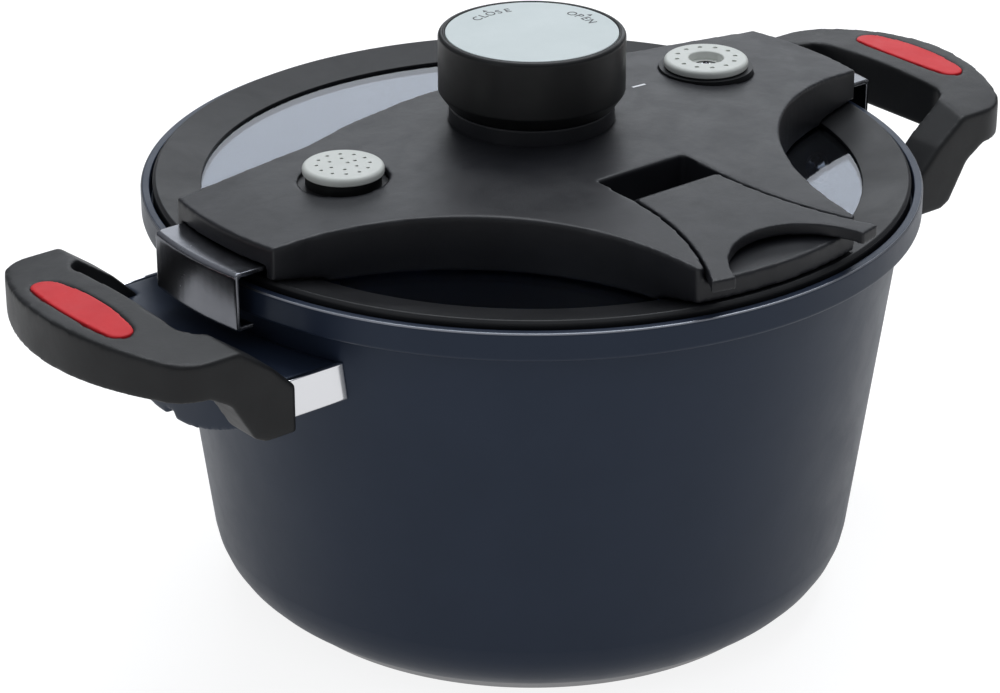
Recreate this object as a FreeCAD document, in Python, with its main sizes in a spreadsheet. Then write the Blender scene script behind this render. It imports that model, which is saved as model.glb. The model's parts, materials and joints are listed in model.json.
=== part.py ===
import FreeCAD, Part
import Sketcher
import math
import os

from FreeCAD import Placement, Rotation, Vector

# Stovetop pressure cooker, millimetres, +Z up. The origin is the centre of the base, on the
# table. X runs through both handles, both valves and both jaws; the flip-up stand faces -Y.
# The lid is drawn unlocked, with its two jaws out clear of the rim.

doc = FreeCAD.newDocument("PressureCooker")
sheet = doc.addObject("Spreadsheet::Sheet", "Dims")

SIZES = {
    # pot
    "rimHeight": 145.0, "flangeRadius": 130.0, "flangeHeight": 9.5, "rimLip": 3.0,
    "seatDepth": 7.0, "wallTopRadius": 124.0, "wallFootRadius": 107.1, "cornerRadius": 25.0,
    "wallThickness": 3.5, "floorThickness": 5.0, "discRadius": 93.0, "discThickness": 3.0,
    "discProud": 1.2, "flangeRoot": 2.0, "flangeUnder": 1.2, "flangeEdge": 0.8,
    # handles, one each side
    "gripInner": 162.0, "gripOuter": 190.5, "gripBow": 82.0, "gripHalf": 51.0,
    "gripCrown": 0.8, "gripCrownRadius": 310.0, "gripDepth": 16.0, "armInner": 134.0,
    "armWidth": 15.0, "armDrop": 36.0, "armShoulder": 18.0, "armRootDepth": 13.0,
    "gripCorner": 16.0, "bracketRadius": 147.0, "bracketDrop": 52.5,
    "bracketTop": 20.0, "ferruleDrop": 33.0, "ferruleThickness": 2.0, "ferruleHalf": 47.0,
    "inlayLength": 50.0, "inlayWidth": 13.2, "inlayDepth": 2.0, "inlayX": 177.3, "inlayEnd": 4.6,
    "inlayProud": 0.25, "innerCorner": 9.0, "screwRadius": 1.8, "screwHeadRadius": 3.2, "screwY": 40.0,
    "screwHead": 2.2, "screwSink": 6.0, "screwReach": 9.0, "rivetRadius": 3.0, "rivetSpacing": 36.0,
    "drainRadius": 2.4, "drainRise": 6.5, "bracketBelly": 78.0,
    # glass and seal
    "glassRadius": 118.0, "glassThickness": 4.0, "glassTop": 1.6, "sealGap": 1.0,
    "sealRise": 2.3, "sealInner": 110.0, "sealUnderInner": 112.5, "sealSeatGap": 0.3,
    "sealLipTop": 0.7,
    # cover
    "domeTop": 19.6, "domeRadius": 1405.0, "coverWall": 2.5, "coverEndRadius": 126.7,
    "coverEndHalf": 26.0, "coverBackX": 70.0, "coverBackY": 29.3, "coverHump": 234.0,
    "coverWaistX": 112.0, "coverWaistY": 27.5, "coverArmX": 34.0, "coverArmY": 112.0,
    "coverWaistArc": 96.3, "coverFrontRadius": 124.0, "coverArmTip": 7.5,
    "postX": 42.0, "postY": 20.0, "postRadius": 4.0,
    # stand and its slot
    "standHingeY": 73.5, "standHingeDrop": 5.6, "standHalf": 17.3, "standFlare": 104.0,
    "standTipX": 34.8, "standTipRadius": 132.4, "standHornX": 26.6, "standNotch": 28.0,
    "standThickness": 4.0, "standGap": 0.9, "standBarrel": 3.5, "standPin": 1.5,
    "slotFloor": 9.6, "wellInner": 55.0, "wellOuter": 69.0, "wellFloor": 2.6,
    # knob
    "knobRadius": 31.0, "knobTop": 49.2, "knobSkirt": 29.5, "knobFoot": 25.3,
    "knobFootRadius": 28.0, "knobWall": 2.7, "legendRadius": 28.6, "legendDepth": 1.2,
    "collarRadius": 27.5, "collarTop": 24.8, "collarSeat": 18.6, "spindleRadius": 5.0,
    "hubRadius": 9.0, "runningGap": 0.4,
    # jaw slides
    "jawTravel": 5.3, "jawGap": 0.4, "jawSheet": 1.6, "jawHalf": 22.0, "jawBarHalf": 13.0,
    "jawBarTop": 7.0, "jawDrop": 12.5, "jawBite": 4.5, "jawBarEnd": 11.0, "jawShoulderX": 106.0,
    "pinRadius": 2.5, "pinCircle": 17.0, "camBottom": 8.0, "camThickness": 2.0,
    "camRadius": 29.0, "camQuarter": 90.0, "slotClear": 0.3, "slideGap": 0.3,
    "bridgeThickness": 2.0, "bridgeHalf": 104.0, "bridgeWidth": 44.0, "bridgeMid": 50.0,
    "bridgeMidHalf": 26.0, "guideX": 56.0, "guideOuterX": 96.0, "guideLength": 9.0,
    "guideTop": 9.0, "guideWall": 3.0,
    # valves
    "valveX": 77.6, "stemRadius": 6.0, "stemBelow": 13.0, "capTop": 22.0, "capFoot": 19.2,
    "reliefCapRadius": 13.2, "floatCapRadius": 14.5, "reliefSeatRadius": 14.6,
    "floatSeatRadius": 16.1, "reliefSeatTop": 15.6, "floatSeatTop": 18.9, "seatFoot": 11.5,
    "capSkirt": 12.3, "capSkirtFoot": 14.5, "capRoof": 1.8, "capRound": 1.4,
    "cupRadius": 11.0, "cupWall": 2.0, "cupFloor": 9.0, "cupBase": 2.5, "cupTop": 17.0,
    "nutAcross": 19.0, "nutHeight": 4.4, "gasketRadius": 11.0, "gasketThickness": 1.5,
    "reliefBore": 2.0, "floatBore": 3.3, "stemFlange": 2.6,
    "floatRise": 4.0, "floatHeadRadius": 4.2, "floatStemRadius": 2.8, "floatDrop": 3.0,
    "floatWell": 6.0, "ventRadius": 0.55, "coilRadius": 4.4, "coilPitch": 1.1,
    "coilHeight": 3.3, "coilWire": 0.4,
}


class Size(float):
    """A number that remembers the sheet formula it comes from."""

    def __new__(cls, number, formula):
        made = float.__new__(cls, number)
        made.formula = formula
        return made

    def __add__(self, other):
        return Size(float(self) + float(other), f"({self.formula} + {formulaOf(other)})")

    def __radd__(self, other):
        return Size(float(other) + float(self), f"({formulaOf(other)} + {self.formula})")

    def __sub__(self, other):
        return Size(float(self) - float(other), f"({self.formula} - {formulaOf(other)})")

    def __rsub__(self, other):
        return Size(float(other) - float(self), f"({formulaOf(other)} - {self.formula})")

    def __mul__(self, other):
        return Size(float(self) * float(other), f"({self.formula} * {formulaOf(other)})")

    __rmul__ = __mul__

    def __truediv__(self, other):
        return Size(float(self) / float(other), f"({self.formula} / {formulaOf(other)})")

    def __neg__(self):
        return Size(-float(self), f"(0 - {self.formula})")


def formulaOf(number):
    return number.formula if isinstance(number, Size) else repr(float(number))


def root(number):
    """Square root of a size, still tied to the sheet."""
    return Size(math.sqrt(number), f"sqrt({formulaOf(number)})")


class Dims:
    """The sheet's cells as named sizes."""


dims = Dims()
for row, (alias, number) in enumerate(SIZES.items(), start=1):
    sheet.set(f"A{row}", alias)
    sheet.set(f"B{row}", repr(number))
    sheet.setAlias(f"B{row}", alias)
    setattr(dims, alias, Size(number, f"Dims.{alias}"))
doc.recompute()

parts = []                     # finished sub-parts, in the order they are made
SIDES = (("right", 0), ("left", 180))


def bind(thing, name, size):
    """Set a property, and tie it to the sheet when it comes from there."""
    if isinstance(size, Size):
        thing.setExpression(name, size.formula)
    else:
        thing.setExpression(name, repr(float(size)))


def keep(thing, label):
    """Count a shape as a finished sub-part, under its own label."""
    thing.Label = label
    parts.append(thing)
    return thing


# ---------------------------------------------------------------- sketches and bodies
def originPlane(body, role):
    return next(item for item in body.Origin.OriginFeatures if item.Role == role)


def centreOfArc(start, end, radius):
    """Centre of the short arc between two points, on the left of the path if radius > 0."""
    chord = end - start
    half = chord.Length / 2
    rise = math.sqrt(radius * radius - half * half)
    normal = Vector(-chord.y, chord.x, 0).normalize()
    return start + chord * 0.5 + normal * math.copysign(rise, radius)


def outline(sketch, corners):
    """Draw a closed outline. A corner is (x, y), or (x, y, radius) to leave it on an arc."""
    points = [Vector(float(c[0]), float(c[1]), 0) for c in corners]
    ends = []
    for index, corner in enumerate(corners):
        start, end = points[index], points[(index + 1) % len(points)]
        if len(corner) == 2:
            ends.append((sketch.addGeometry(Part.LineSegment(start, end), False), 1, 2))
            continue
        centre = centreOfArc(start, end, float(corner[2]))
        first, last = start - centre, end - centre
        turns = [math.atan2(first.y, first.x), math.atan2(last.y, last.x)]
        if corner[2] < 0:
            turns.reverse()
        circle = Part.Circle(centre, Vector(0, 0, 1), abs(float(corner[2])))
        edge = sketch.addGeometry(Part.ArcOfCircle(circle, turns[0], turns[1]), False)
        ends.append((edge, 1, 2) if corner[2] > 0 else (edge, 2, 1))
    for index, (edge, start, end) in enumerate(ends):
        following = ends[(index + 1) % len(ends)]
        sketch.addConstraint(Sketcher.Constraint("Coincident", edge, end, following[0], following[1]))
    for index, corner in enumerate(corners):
        edge, start, end = ends[index]
        for name, size, axis in (("DistanceX", corner[0], -2), ("DistanceY", corner[1], -1)):
            if not isinstance(size, Size) and size == 0:
                sketch.addConstraint(Sketcher.Constraint("PointOnObject", edge, start, axis))
                continue
            made = sketch.addConstraint(Sketcher.Constraint(name, -1, 1, edge, start, float(size)))
            bind(sketch, f"Constraints[{made}]", size)
        if len(corner) == 3:
            radius = abs(float(corner[2]))
            made = sketch.addConstraint(Sketcher.Constraint("Radius", edge, radius))
            size = corner[2] if corner[2] > 0 else -1 * corner[2]
            bind(sketch, f"Constraints[{made}]", size)


def sketched(body, plane, corners, height=None):
    sketch = body.newObject("Sketcher::SketchObject", body.Name + "Sketch")
    sketch.AttachmentSupport = [(originPlane(body, plane), "")]
    sketch.MapMode = "FlatFace"
    if height is not None:
        bind(sketch, "AttachmentOffset.Base.z", height)
    outline(sketch, corners)
    return sketch


def turned(name, corners):
    """A body of revolution about Z from a half profile of (radius, height) corners."""
    body = doc.addObject("PartDesign::Body", name)
    sketch = sketched(body, "XZ_Plane", corners)
    feature = body.newObject("PartDesign::Revolution", name + "Turned")
    feature.Profile = sketch
    feature.ReferenceAxis = (sketch, ["V_Axis"])
    feature.Angle = 360
    doc.recompute()
    return body


def plate(name, corners, low, high, plane="XY_Plane"):
    """A flat body: an outline in plan, from one height to another."""
    body = doc.addObject("PartDesign::Body", name)
    sketch = sketched(body, plane, corners, low)
    feature = body.newObject("PartDesign::Pad", name + "Pad")
    feature.Profile = sketch
    bind(feature, "Length", high - low)
    doc.recompute()
    return body


def rounded(body, radius, wanted):
    """Round the edges of a body that a test picks out."""
    base = body.Tip
    names = [f"Edge{i + 1}" for i, edge in enumerate(base.Shape.Edges) if wanted(edge)]
    if not names:
        raise RuntimeError(f"{body.Name}: no edge to round")
    feature = body.newObject("PartDesign::Fillet", body.Name + "Round")
    feature.Base = (base, names)
    bind(feature, "Radius", radius)
    doc.recompute()
    return body


def ringAt(radius, height):
    """Picks the circular edge with this radius at this height."""
    def wanted(edge):
        curve = edge.Curve
        if not isinstance(curve, Part.Circle):
            return False
        return abs(curve.Radius - radius) < 0.01 and abs(curve.Center.z - height) < 0.01
    return wanted


# ---------------------------------------------------------------- primitives and booleans
def box(name, x, y, z):
    """A box from (low, high) pairs along X, Y and Z."""
    made = doc.addObject("Part::Box", name)
    for side, axis, (low, high) in (("Length", "x", x), ("Width", "y", y), ("Height", "z", z)):
        bind(made, side, high - low)
        bind(made, f"Placement.Base.{axis}", low)
    return made


def rod(name, radius, low, high, x=0.0, y=0.0):
    """An upright cylinder."""
    made = doc.addObject("Part::Cylinder", name)
    bind(made, "Radius", radius)
    bind(made, "Height", high - low)
    for axis, size in (("x", x), ("y", y), ("z", low)):
        bind(made, f"Placement.Base.{axis}", size)
    return made


def barAlongX(name, radius, low, high, y, z):
    """A cylinder lying along X."""
    made = doc.addObject("Part::Cylinder", name)
    bind(made, "Radius", radius)
    bind(made, "Height", high - low)
    made.Placement = Placement(Vector(), Rotation(Vector(0, 1, 0), 90))
    for axis, size in (("x", low), ("y", y), ("z", z)):
        bind(made, f"Placement.Base.{axis}", size)
    return made


def cut(name, base, *tools):
    for index, tool in enumerate(tools):
        made = doc.addObject("Part::Cut", name if index == len(tools) - 1 else f"{name}Step{index}")
        made.Base, made.Tool = base, tool
        base = made
    doc.recompute()
    return base


def fuse(name, *shapes):
    made = doc.addObject("Part::MultiFuse", name)
    made.Shapes = list(shapes)
    doc.recompute()
    return made


def common(name, *shapes):
    made = doc.addObject("Part::MultiCommon", name)
    made.Shapes = list(shapes)
    doc.recompute()
    return made


def mirrored(shape, label, turn):
    """A sub-part drawn on the +X side, kept there or turned to the other side."""
    shape.Placement = Placement(Vector(), Rotation(Vector(0, 0, 1), turn))
    return keep(shape, label)


# ---------------------------------------------------------------- heights used by many pieces
d = dims
rim = d.rimHeight
seat = rim - d.seatDepth
glassTop = rim - d.glassTop
glassFoot = glassTop - d.glassThickness
bridgeTop = glassTop + d.bridgeThickness
barTop = rim + d.jawBarTop
barFoot = barTop - d.jawSheet
domeTop = rim + d.domeTop
sealRadius = d.flangeRadius - d.rimLip - d.sealGap
standZ = domeTop - d.standHingeDrop
rivetZ = rim - (d.bracketTop + d.ferruleDrop) / 2
REACH = 260.0                  # longer than any piece, for cutting tools
valves = (("relief", -1), ("float", 1))
seatRadius = {"relief": d.reliefSeatRadius, "float": d.floatSeatRadius}


# ---------------------------------------------------------------- pot
def makePot():
    innerTop = d.wallTopRadius - d.wallThickness
    innerFoot = d.wallFootRadius - d.wallThickness
    floor = d.discProud + d.floorThickness
    lip = d.flangeRadius - d.rimLip
    pot = turned("PotShell", [
        (0, d.discProud), (d.wallFootRadius, d.discProud),
        (d.wallTopRadius, rim - d.flangeHeight), (d.flangeRadius, rim - d.flangeHeight),
        (d.flangeRadius, rim), (lip, rim), (lip, seat), (innerTop, seat),
        (innerFoot, floor), (0, floor)])
    rounded(pot, d.cornerRadius, ringAt(d.wallFootRadius, d.discProud))
    rounded(pot, d.cornerRadius - d.wallThickness, ringAt(innerFoot, floor))
    rounded(pot, d.flangeRoot, ringAt(d.wallTopRadius, rim - d.flangeHeight))
    rounded(pot, d.flangeUnder, ringAt(d.flangeRadius, rim - d.flangeHeight))
    rounded(pot, d.flangeEdge, ringAt(d.flangeRadius, rim))
    disc = keep(rod("BaseDisc", d.discRadius, 0.0, d.discThickness), "base_disc")
    holes = [barAlongX(f"PotRivetHole{i}", d.rivetRadius, -REACH, REACH, y, rivetZ)
             for i, y in enumerate((d.rivetSpacing / 2, -d.rivetSpacing / 2))]
    keep(cut("PotBody", pot, disc, *holes), "pot_body")


def wallRadiusAt(height):
    """Outer radius of the pot's straight wall at a height above the table."""
    slope = (d.wallTopRadius - d.wallFootRadius) / (rim - d.flangeHeight - d.discProud)
    return d.wallFootRadius + slope * (height - d.discProud)


def makeHandle(side, turn):
    """One handle and its inlay, drawn on +X: two arms that hook up to a bowed grip."""
    gripTop = rim + d.gripCrown
    gripFoot = gripTop - d.gripDepth
    rootTop = rim - d.armShoulder
    rootFoot = rim - d.armDrop
    rootOuter = d.armInner + d.armRootDepth
    armIn = d.gripHalf - d.armWidth
    ease = 2.0                 # how far the arm's side profile steps round its corners

    # in plan the corner arcs run on smoothly from the arms and into the bow of the grip
    bowX = d.gripOuter - d.gripBow
    narrow = d.gripHalf - d.gripCorner
    cornerX = root((d.gripBow - d.gripCorner) * (d.gripBow - d.gripCorner) - narrow * narrow)
    share = d.gripBow / (d.gripBow - d.gripCorner)
    inX, inY = d.gripInner - d.innerCorner, armIn - d.innerCorner
    plan = plate(f"HandlePlan{side}", [
        (d.armInner, -d.gripHalf), (bowX + cornerX, -d.gripHalf, d.gripCorner),
        (bowX + cornerX * share, -narrow * share, d.gripBow),
        (bowX + cornerX * share, narrow * share, d.gripCorner), (bowX + cornerX, d.gripHalf),
        (d.armInner, d.gripHalf), (d.armInner, armIn), (inX, armIn, -d.innerCorner),
        (d.gripInner, inY), (d.gripInner, -inY, -d.innerCorner), (inX, -armIn),
        (d.armInner, -armIn)], rootFoot - ease, gripTop + ease)
    profile = plate(f"HandleSide{side}", [
        (d.armInner, rootFoot), (rootOuter - ease, rootFoot), (rootOuter + ease, rootFoot + ease),
        (d.gripInner - 5, gripFoot - 5.5), (d.gripInner + 3, gripFoot - 0.5),
        (d.gripOuter - 5, gripFoot), (REACH, gripFoot), (REACH, gripTop + ease),
        (d.gripInner, gripTop + ease), (d.armInner + 4 * ease, rootTop + 3 * ease),
        (d.armInner + ease, rootTop), (d.armInner, rootTop - ease)], -REACH / 2, REACH / 2, "XZ_Plane")
    crown = barAlongX(f"HandleCrown{side}", d.gripCrownRadius, 0.0, REACH, 0.0,
                      gripTop - d.gripCrownRadius)
    raw = common(f"HandleRaw{side}", plan, profile, crown)

    # oval inlay let into the top of the grip, a little proud of its crown
    endY = d.inlayLength / 2 - d.inlayEnd
    half = d.inlayWidth / 2
    long = (endY * endY + half * half - d.inlayEnd * d.inlayEnd) / ((half - d.inlayEnd) * 2)
    stretch = long / (long - d.inlayEnd)
    tipX, tipY = (long - half) * (stretch - 1), endY * stretch
    block = plate(f"InlayBlock{side}", [
        (d.inlayX + tipX, -tipY, long), (d.inlayX + tipX, tipY, d.inlayEnd),
        (d.inlayX - tipX, tipY, long), (d.inlayX - tipX, -tipY, d.inlayEnd)],
        gripTop - d.inlayDepth - ease / 2, gripTop + ease)
    proud = barAlongX(f"InlayCrown{side}", d.gripCrownRadius + d.inlayProud, 0.0, REACH, 0.0,
                      gripTop - d.gripCrownRadius)
    mirrored(common(f"Inlay{side}", block, proud), f"handle_inlay_{side}", turn)

    # screws from the bracket's pot side into the two arm roots
    screwZ = rim - (d.armShoulder + d.armDrop) / 2 - ease
    headX = d.armInner - d.screwSink - d.screwHead
    shanks, wells, screws = [], [], []
    for index, y in enumerate((d.screwY, -d.screwY)):
        head = barAlongX(f"ScrewHead{side}{index}", d.screwHeadRadius, headX, headX + d.screwHead,
                         y, screwZ)
        shank = barAlongX(f"Screw{side}{index}", d.screwRadius, headX + d.screwHead,
                          d.armInner + d.screwReach, y, screwZ)
        shanks.append(shank)
        screws.append(fuse(f"ScrewWhole{side}{index}", head, shank))
        wells.append(barAlongX(f"ScrewWell{side}{index}", d.screwHeadRadius, 0.0, headX + d.screwHead,
                               y, screwZ))
    mirrored(cut(f"Handle{side}", raw, block, *shanks), f"handle_{side}", turn)
    pair = doc.addObject("Part::Compound", f"ScrewPair{side}")
    pair.Links = screws
    doc.recompute()
    mirrored(pair, f"handle_screws_{side}", turn)
    return shanks + wells


def makeBracket(side, turn, screwRoom):
    """Cast bracket between the arms and the pot wall, deepest in the middle, with its
    bright end plates. Returns the rivets that hold it to the pot."""
    top = rim - d.bracketTop
    ends = rim - d.ferruleDrop
    low = rim - d.bracketDrop - d.drainRise
    half = d.ferruleHalf - d.ferruleThickness
    armIn = d.gripHalf - d.armWidth
    face = plate(f"BracketFace{side}", [
        (-half, ends), (half, ends), (half, top), (-half, top)], 0.0, REACH, "YZ_Plane")
    belly = plate(f"BracketBelly{side}", [
        (-half, ends + 1, d.bracketBelly), (half, ends + 1)], 0.0, REACH, "YZ_Plane")
    sector = rod(f"BracketSector{side}", d.bracketRadius, low, top)
    bore = doc.addObject("Part::Cone", f"BracketBore{side}")
    bind(bore, "Radius1", wallRadiusAt(low))
    bind(bore, "Radius2", wallRadiusAt(rim))
    bind(bore, "Height", rim - low)
    bind(bore, "Placement.Base.z", low)
    seats = [box(f"BracketSeat{side}{index}", (d.armInner, REACH), (y, y + REACH), (low, rim))
             for index, y in enumerate((armIn, -armIn - REACH))]

    rivetX = d.bracketRadius - 8
    wall = wallRadiusAt(rivetZ) - d.wallThickness
    holes, rivets = [], []
    for index, y in enumerate((d.rivetSpacing / 2, -d.rivetSpacing / 2)):
        holes.append(barAlongX(f"RivetHole{side}{index}", d.rivetRadius, 0.0, rivetX, y, rivetZ))
        shank = barAlongX(f"RivetShank{side}{index}", d.rivetRadius, wall - 4, rivetX, y, rivetZ)
        head = doc.addObject("Part::Sphere", f"RivetHead{side}{index}")
        bind(head, "Radius", d.rivetRadius * 2)
        for axis, size in (("x", wall - 0.5), ("y", y), ("z", rivetZ)):
            bind(head, f"Placement.Base.{axis}", size)
        rivets.append(fuse(f"Rivet{side}{index}", shank, head))
    drain = barAlongX(f"BracketDrain{side}", d.drainRadius, d.bracketRadius - 6, REACH, 0.0,
                      rim - d.bracketDrop + d.drainRise)
    bracket = common(f"BracketSolid{side}", fuse(f"BracketOutline{side}", face, belly), sector)
    bracket = cut(f"Bracket{side}", bracket, bore, *seats, *holes, *screwRoom, drain)
    mirrored(bracket, f"handle_bracket_{side}", turn)
    for name, first in (("front", -d.ferruleHalf), ("back", half)):
        blank = box(f"Ferrule{side}{name}", (0.0, d.armInner), (first, first + d.ferruleThickness),
                    (ends, top))
        mirrored(cut(f"FerruleCut{side}{name}", blank, bore), f"ferrule_{name}_{side}", turn)
    return rivets


def makeRivets(side, turn, rivets):
    """Round-headed rivets, their heads inside the pot and seated on its tapering wall."""
    floor = d.discProud + d.floorThickness
    liner = doc.addObject("Part::Cone", f"Liner{side}")
    bind(liner, "Radius1", d.wallFootRadius - d.wallThickness)
    bind(liner, "Radius2", d.wallTopRadius - d.wallThickness)
    bind(liner, "Height", rim - d.seatDepth - floor)
    bind(liner, "Placement.Base.z", floor)
    made = []
    for index, rivet in enumerate(rivets):
        head = common(f"RivetInside{side}{index}", rivet, liner)
        shank = cut(f"RivetOutside{side}{index}", rivet.Shapes[0], liner)
        made.append(fuse(f"RivetWhole{side}{index}", head, shank))
    pair = doc.addObject("Part::Compound", f"RivetPair{side}")
    pair.Links = made
    doc.recompute()
    mirrored(pair, f"handle_rivets_{side}", turn)


# ---------------------------------------------------------------- glass, seal and bridge
def makeGlassAndSeal():
    glass = rod("GlassBlank", d.glassRadius, glassFoot, glassTop)
    holes = [rod(f"GlassHole{name}", d.stemRadius, glassFoot - 1, glassTop + 1, way * d.valveX)
             for name, way in valves]
    keep(cut("Glass", glass, *holes), "lid_glass")
    sealFoot = seat + d.sealSeatGap
    keep(turned("Seal", [
        (d.sealUnderInner, sealFoot), (sealRadius, sealFoot), (sealRadius, rim + d.sealRise - 1),
        (sealRadius - 1, rim + d.sealRise), (d.sealInner, rim - d.sealLipTop), (d.sealInner, glassTop),
        (d.glassRadius, glassTop), (d.glassRadius, glassFoot), (d.sealUnderInner, glassFoot)]),
        "lid_seal")


def makeBridge():
    """Steel plate on the glass that carries the lock and the cover."""
    bar = box("BridgeBar", (-d.bridgeHalf, d.bridgeHalf), (-d.bridgeWidth / 2, d.bridgeWidth / 2),
              (glassTop, bridgeTop))
    middle = box("BridgeMiddle", (-d.bridgeMid, d.bridgeMid), (-d.bridgeMidHalf, d.bridgeMidHalf),
                 (glassTop, bridgeTop))
    whole = fuse("BridgeBlank", bar, middle)
    holes = [rod(f"BridgeHole{name}", d.stemRadius, glassTop - 1, bridgeTop + 1, way * d.valveX)
             for name, way in valves]
    holes.append(rod("BridgeBushHole", d.hubRadius - 3, glassTop - 1, bridgeTop + 1))
    screws = []
    for index, (sx, sy) in enumerate(((1, 1), (-1, 1), (-1, -1), (1, -1))):
        x, y = sx * d.postX, sy * d.postY
        head = doc.addObject("Part::Cone", f"CoverScrewHead{index}")
        bind(head, "Radius1", d.postRadius - 0.6)
        bind(head, "Radius2", d.postRadius - 2.4)
        bind(head, "Height", d.bridgeThickness)
        for axis, size in (("x", x), ("y", y), ("z", glassTop)):
            bind(head, f"Placement.Base.{axis}", size)
        shank = rod(f"CoverScrewShank{index}", d.postRadius - 2.4, bridgeTop, bridgeTop + 9, x, y)
        screws.append(fuse(f"CoverScrew{index}", head, shank))
    keep(cut("Bridge", whole, *holes, *screws), "lid_bridge")
    group = doc.addObject("Part::Compound", "CoverScrews")
    group.Links = screws
    doc.recompute()
    keep(group, "cover_screws")
    keep(turned("Bush", [
        (3.3, glassTop), (d.hubRadius - 3, glassTop), (d.hubRadius - 3, bridgeTop),
        (d.hubRadius - 1, bridgeTop), (d.hubRadius - 1, bridgeTop + 2.4), (3.3, bridgeTop + 2.4)]),
        "spindle_bush")
    return screws


def makeGuides():
    """Arched guides that hold each jaw's bar down to its slide."""
    for side, turn in SIDES:
        for place, x in (("inner", d.guideX), ("outer", d.guideOuterX)):
            wide = d.jawBarHalf + d.slideGap + d.guideWall
            blank = box(f"Guide{side}{place}", (x - d.guideLength / 2, x + d.guideLength / 2),
                        (-wide, wide), (bridgeTop, rim + d.guideTop))
            clear = d.jawBarHalf + d.slideGap
            window = box(f"GuideWindow{side}{place}", (x - d.guideLength, x + d.guideLength),
                         (-clear, clear), (barFoot - d.slideGap, barTop + d.slideGap))
            mirrored(cut(f"GuideCut{side}{place}", blank, window), f"jaw_guide_{place}_{side}", turn)


# ---------------------------------------------------------------- cover
def coverOutline():
    """Plan of the cover: two ends, a humped back, hollow flanks and a front arm."""
    endX = root(d.coverEndRadius * d.coverEndRadius - d.coverEndHalf * d.coverEndHalf)
    frontY = d.coverArmY + d.coverArmTip
    frontX = root(d.coverFrontRadius * d.coverFrontRadius - frontY * frontY)
    return [
        (endX, -d.coverEndHalf, d.coverEndRadius), (endX, d.coverEndHalf),
        (d.coverBackX, d.coverBackY, d.coverHump), (-d.coverBackX, d.coverBackY),
        (-endX, d.coverEndHalf, d.coverEndRadius), (-endX, -d.coverEndHalf),
        (-d.coverWaistX, -d.coverWaistY, -d.coverWaistArc), (-d.coverArmX, -d.coverArmY),
        (-frontX, -frontY, d.coverFrontRadius), (frontX, -frontY),
        (d.coverArmX, -d.coverArmY, -d.coverWaistArc), (d.coverWaistX, -d.coverWaistY)]


def slotOutline(gap, back):
    """Plan of the stand's slot, grown by a gap all round."""
    half = d.standHalf + gap
    inner = back - gap
    tip = d.standTipX + gap
    tipY = root(d.standTipRadius * d.standTipRadius - d.standTipX * d.standTipX)
    flare = d.standFlare - gap
    return [(-half, -inner), (-half, -d.standHingeY, -flare), (-tip, -tipY), (-tip, -tipY - 3),
            (tip, -tipY - 3), (tip, -tipY, -flare), (half, -d.standHingeY), (half, -inner)]


def domed(name, drop):
    """A wide solid with the cover's domed top, lowered by a wall."""
    ball = doc.addObject("Part::Sphere", name + "Ball")
    bind(ball, "Radius", d.domeRadius - drop)
    bind(ball, "Placement.Base.z", domeTop - d.domeRadius)
    return ball


def makeCover(screws):
    foot = glassTop + 0.3
    blank = plate("CoverBlank", coverOutline(), foot, domeTop + 5)
    outer = common("CoverOuter", blank, domed("CoverDome", 0.0))
    inset = blank.Tip.Profile[0].Shape.Wires[0].makeOffset2D(-d.coverWall)
    hollow = doc.addObject("Part::Feature", "CoverHollowBlock")
    hollow.Shape = Part.Face(inset).extrude(Vector(0, 0, d.domeTop + 10))
    under = common("CoverHollow", hollow, domed("CoverUnder", d.coverWall))
    shell = cut("CoverShell", outer, under)

    # tray under the stand, well behind it, and posts for the screws
    trayFoot = rim + d.slotFloor - d.coverWall
    tray = plate("TrayBlank", slotOutline(d.standGap + d.coverWall, d.wellOuter - d.coverWall),
                 trayFoot, domeTop)
    wellHalf = d.standHalf + d.standGap
    well = box("WellBlank", (-wellHalf - d.coverWall, wellHalf + d.coverWall),
               (-d.wellOuter - d.coverWall, -d.wellInner + d.coverWall), (rim + 0.2, domeTop))
    posts = [rod(f"Post{index}", d.postRadius, bridgeTop, domeTop, sx * d.postX, sy * d.postY)
             for index, (sx, sy) in enumerate(((1, 1), (-1, 1), (-1, -1), (1, -1)))]
    solid = common("CoverSolid", fuse("CoverWithPosts", shell, tray, well, *posts), outer)
    slot = plate("SlotCut", slotOutline(d.standGap, d.wellOuter - 0.5), rim + d.slotFloor, domeTop + 10)
    wellCut = box("WellCut", (-wellHalf, wellHalf), (-d.wellOuter, -d.wellInner),
                  (rim + d.wellFloor, domeTop + 10))

    # room for the seal, the jaws, the valves and the knob
    ring = turned("SealRoom", [
        (d.sealInner - 0.8, glassTop - 5), (REACH, glassTop - 5), (REACH, rim + d.sealRise + 0.7),
        (sealRadius, rim + d.sealRise + 0.7), (d.sealInner - 0.8, rim + 0.1)])
    wayStart, wayEnd = d.jawShoulderX - 16, d.jawShoulderX + 44
    ways = [box(f"JawWay{index}", span, (-d.jawHalf - 0.6, d.jawHalf + 0.6),
                (glassTop - 5, barTop + d.slideGap))
            for index, span in enumerate(((wayStart, wayEnd), (-wayEnd, -wayStart)))]
    wells = [rod(f"CapWell{name}", seatRadius[name], glassTop - 5, domeTop + 5, way * d.valveX)
             for name, way in valves]
    bore = rod("SpindleBore", d.spindleRadius + d.runningGap, glassTop, domeTop + 5)
    recess = rod("CollarRecess", d.collarRadius, rim + d.collarSeat, domeTop + 5)
    shanks = [screw.Shapes[1] for screw in screws]
    pin = barAlongX("StandPinHole", d.standPin, -d.standHalf - 4.5, d.standHalf + 4.5,
                    -d.standHingeY, standZ)
    cover = cut("Cover", solid, slot, wellCut, ring, *ways, *wells, bore, recess, *shanks, pin)
    keep(cover, "lid_cover")


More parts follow.
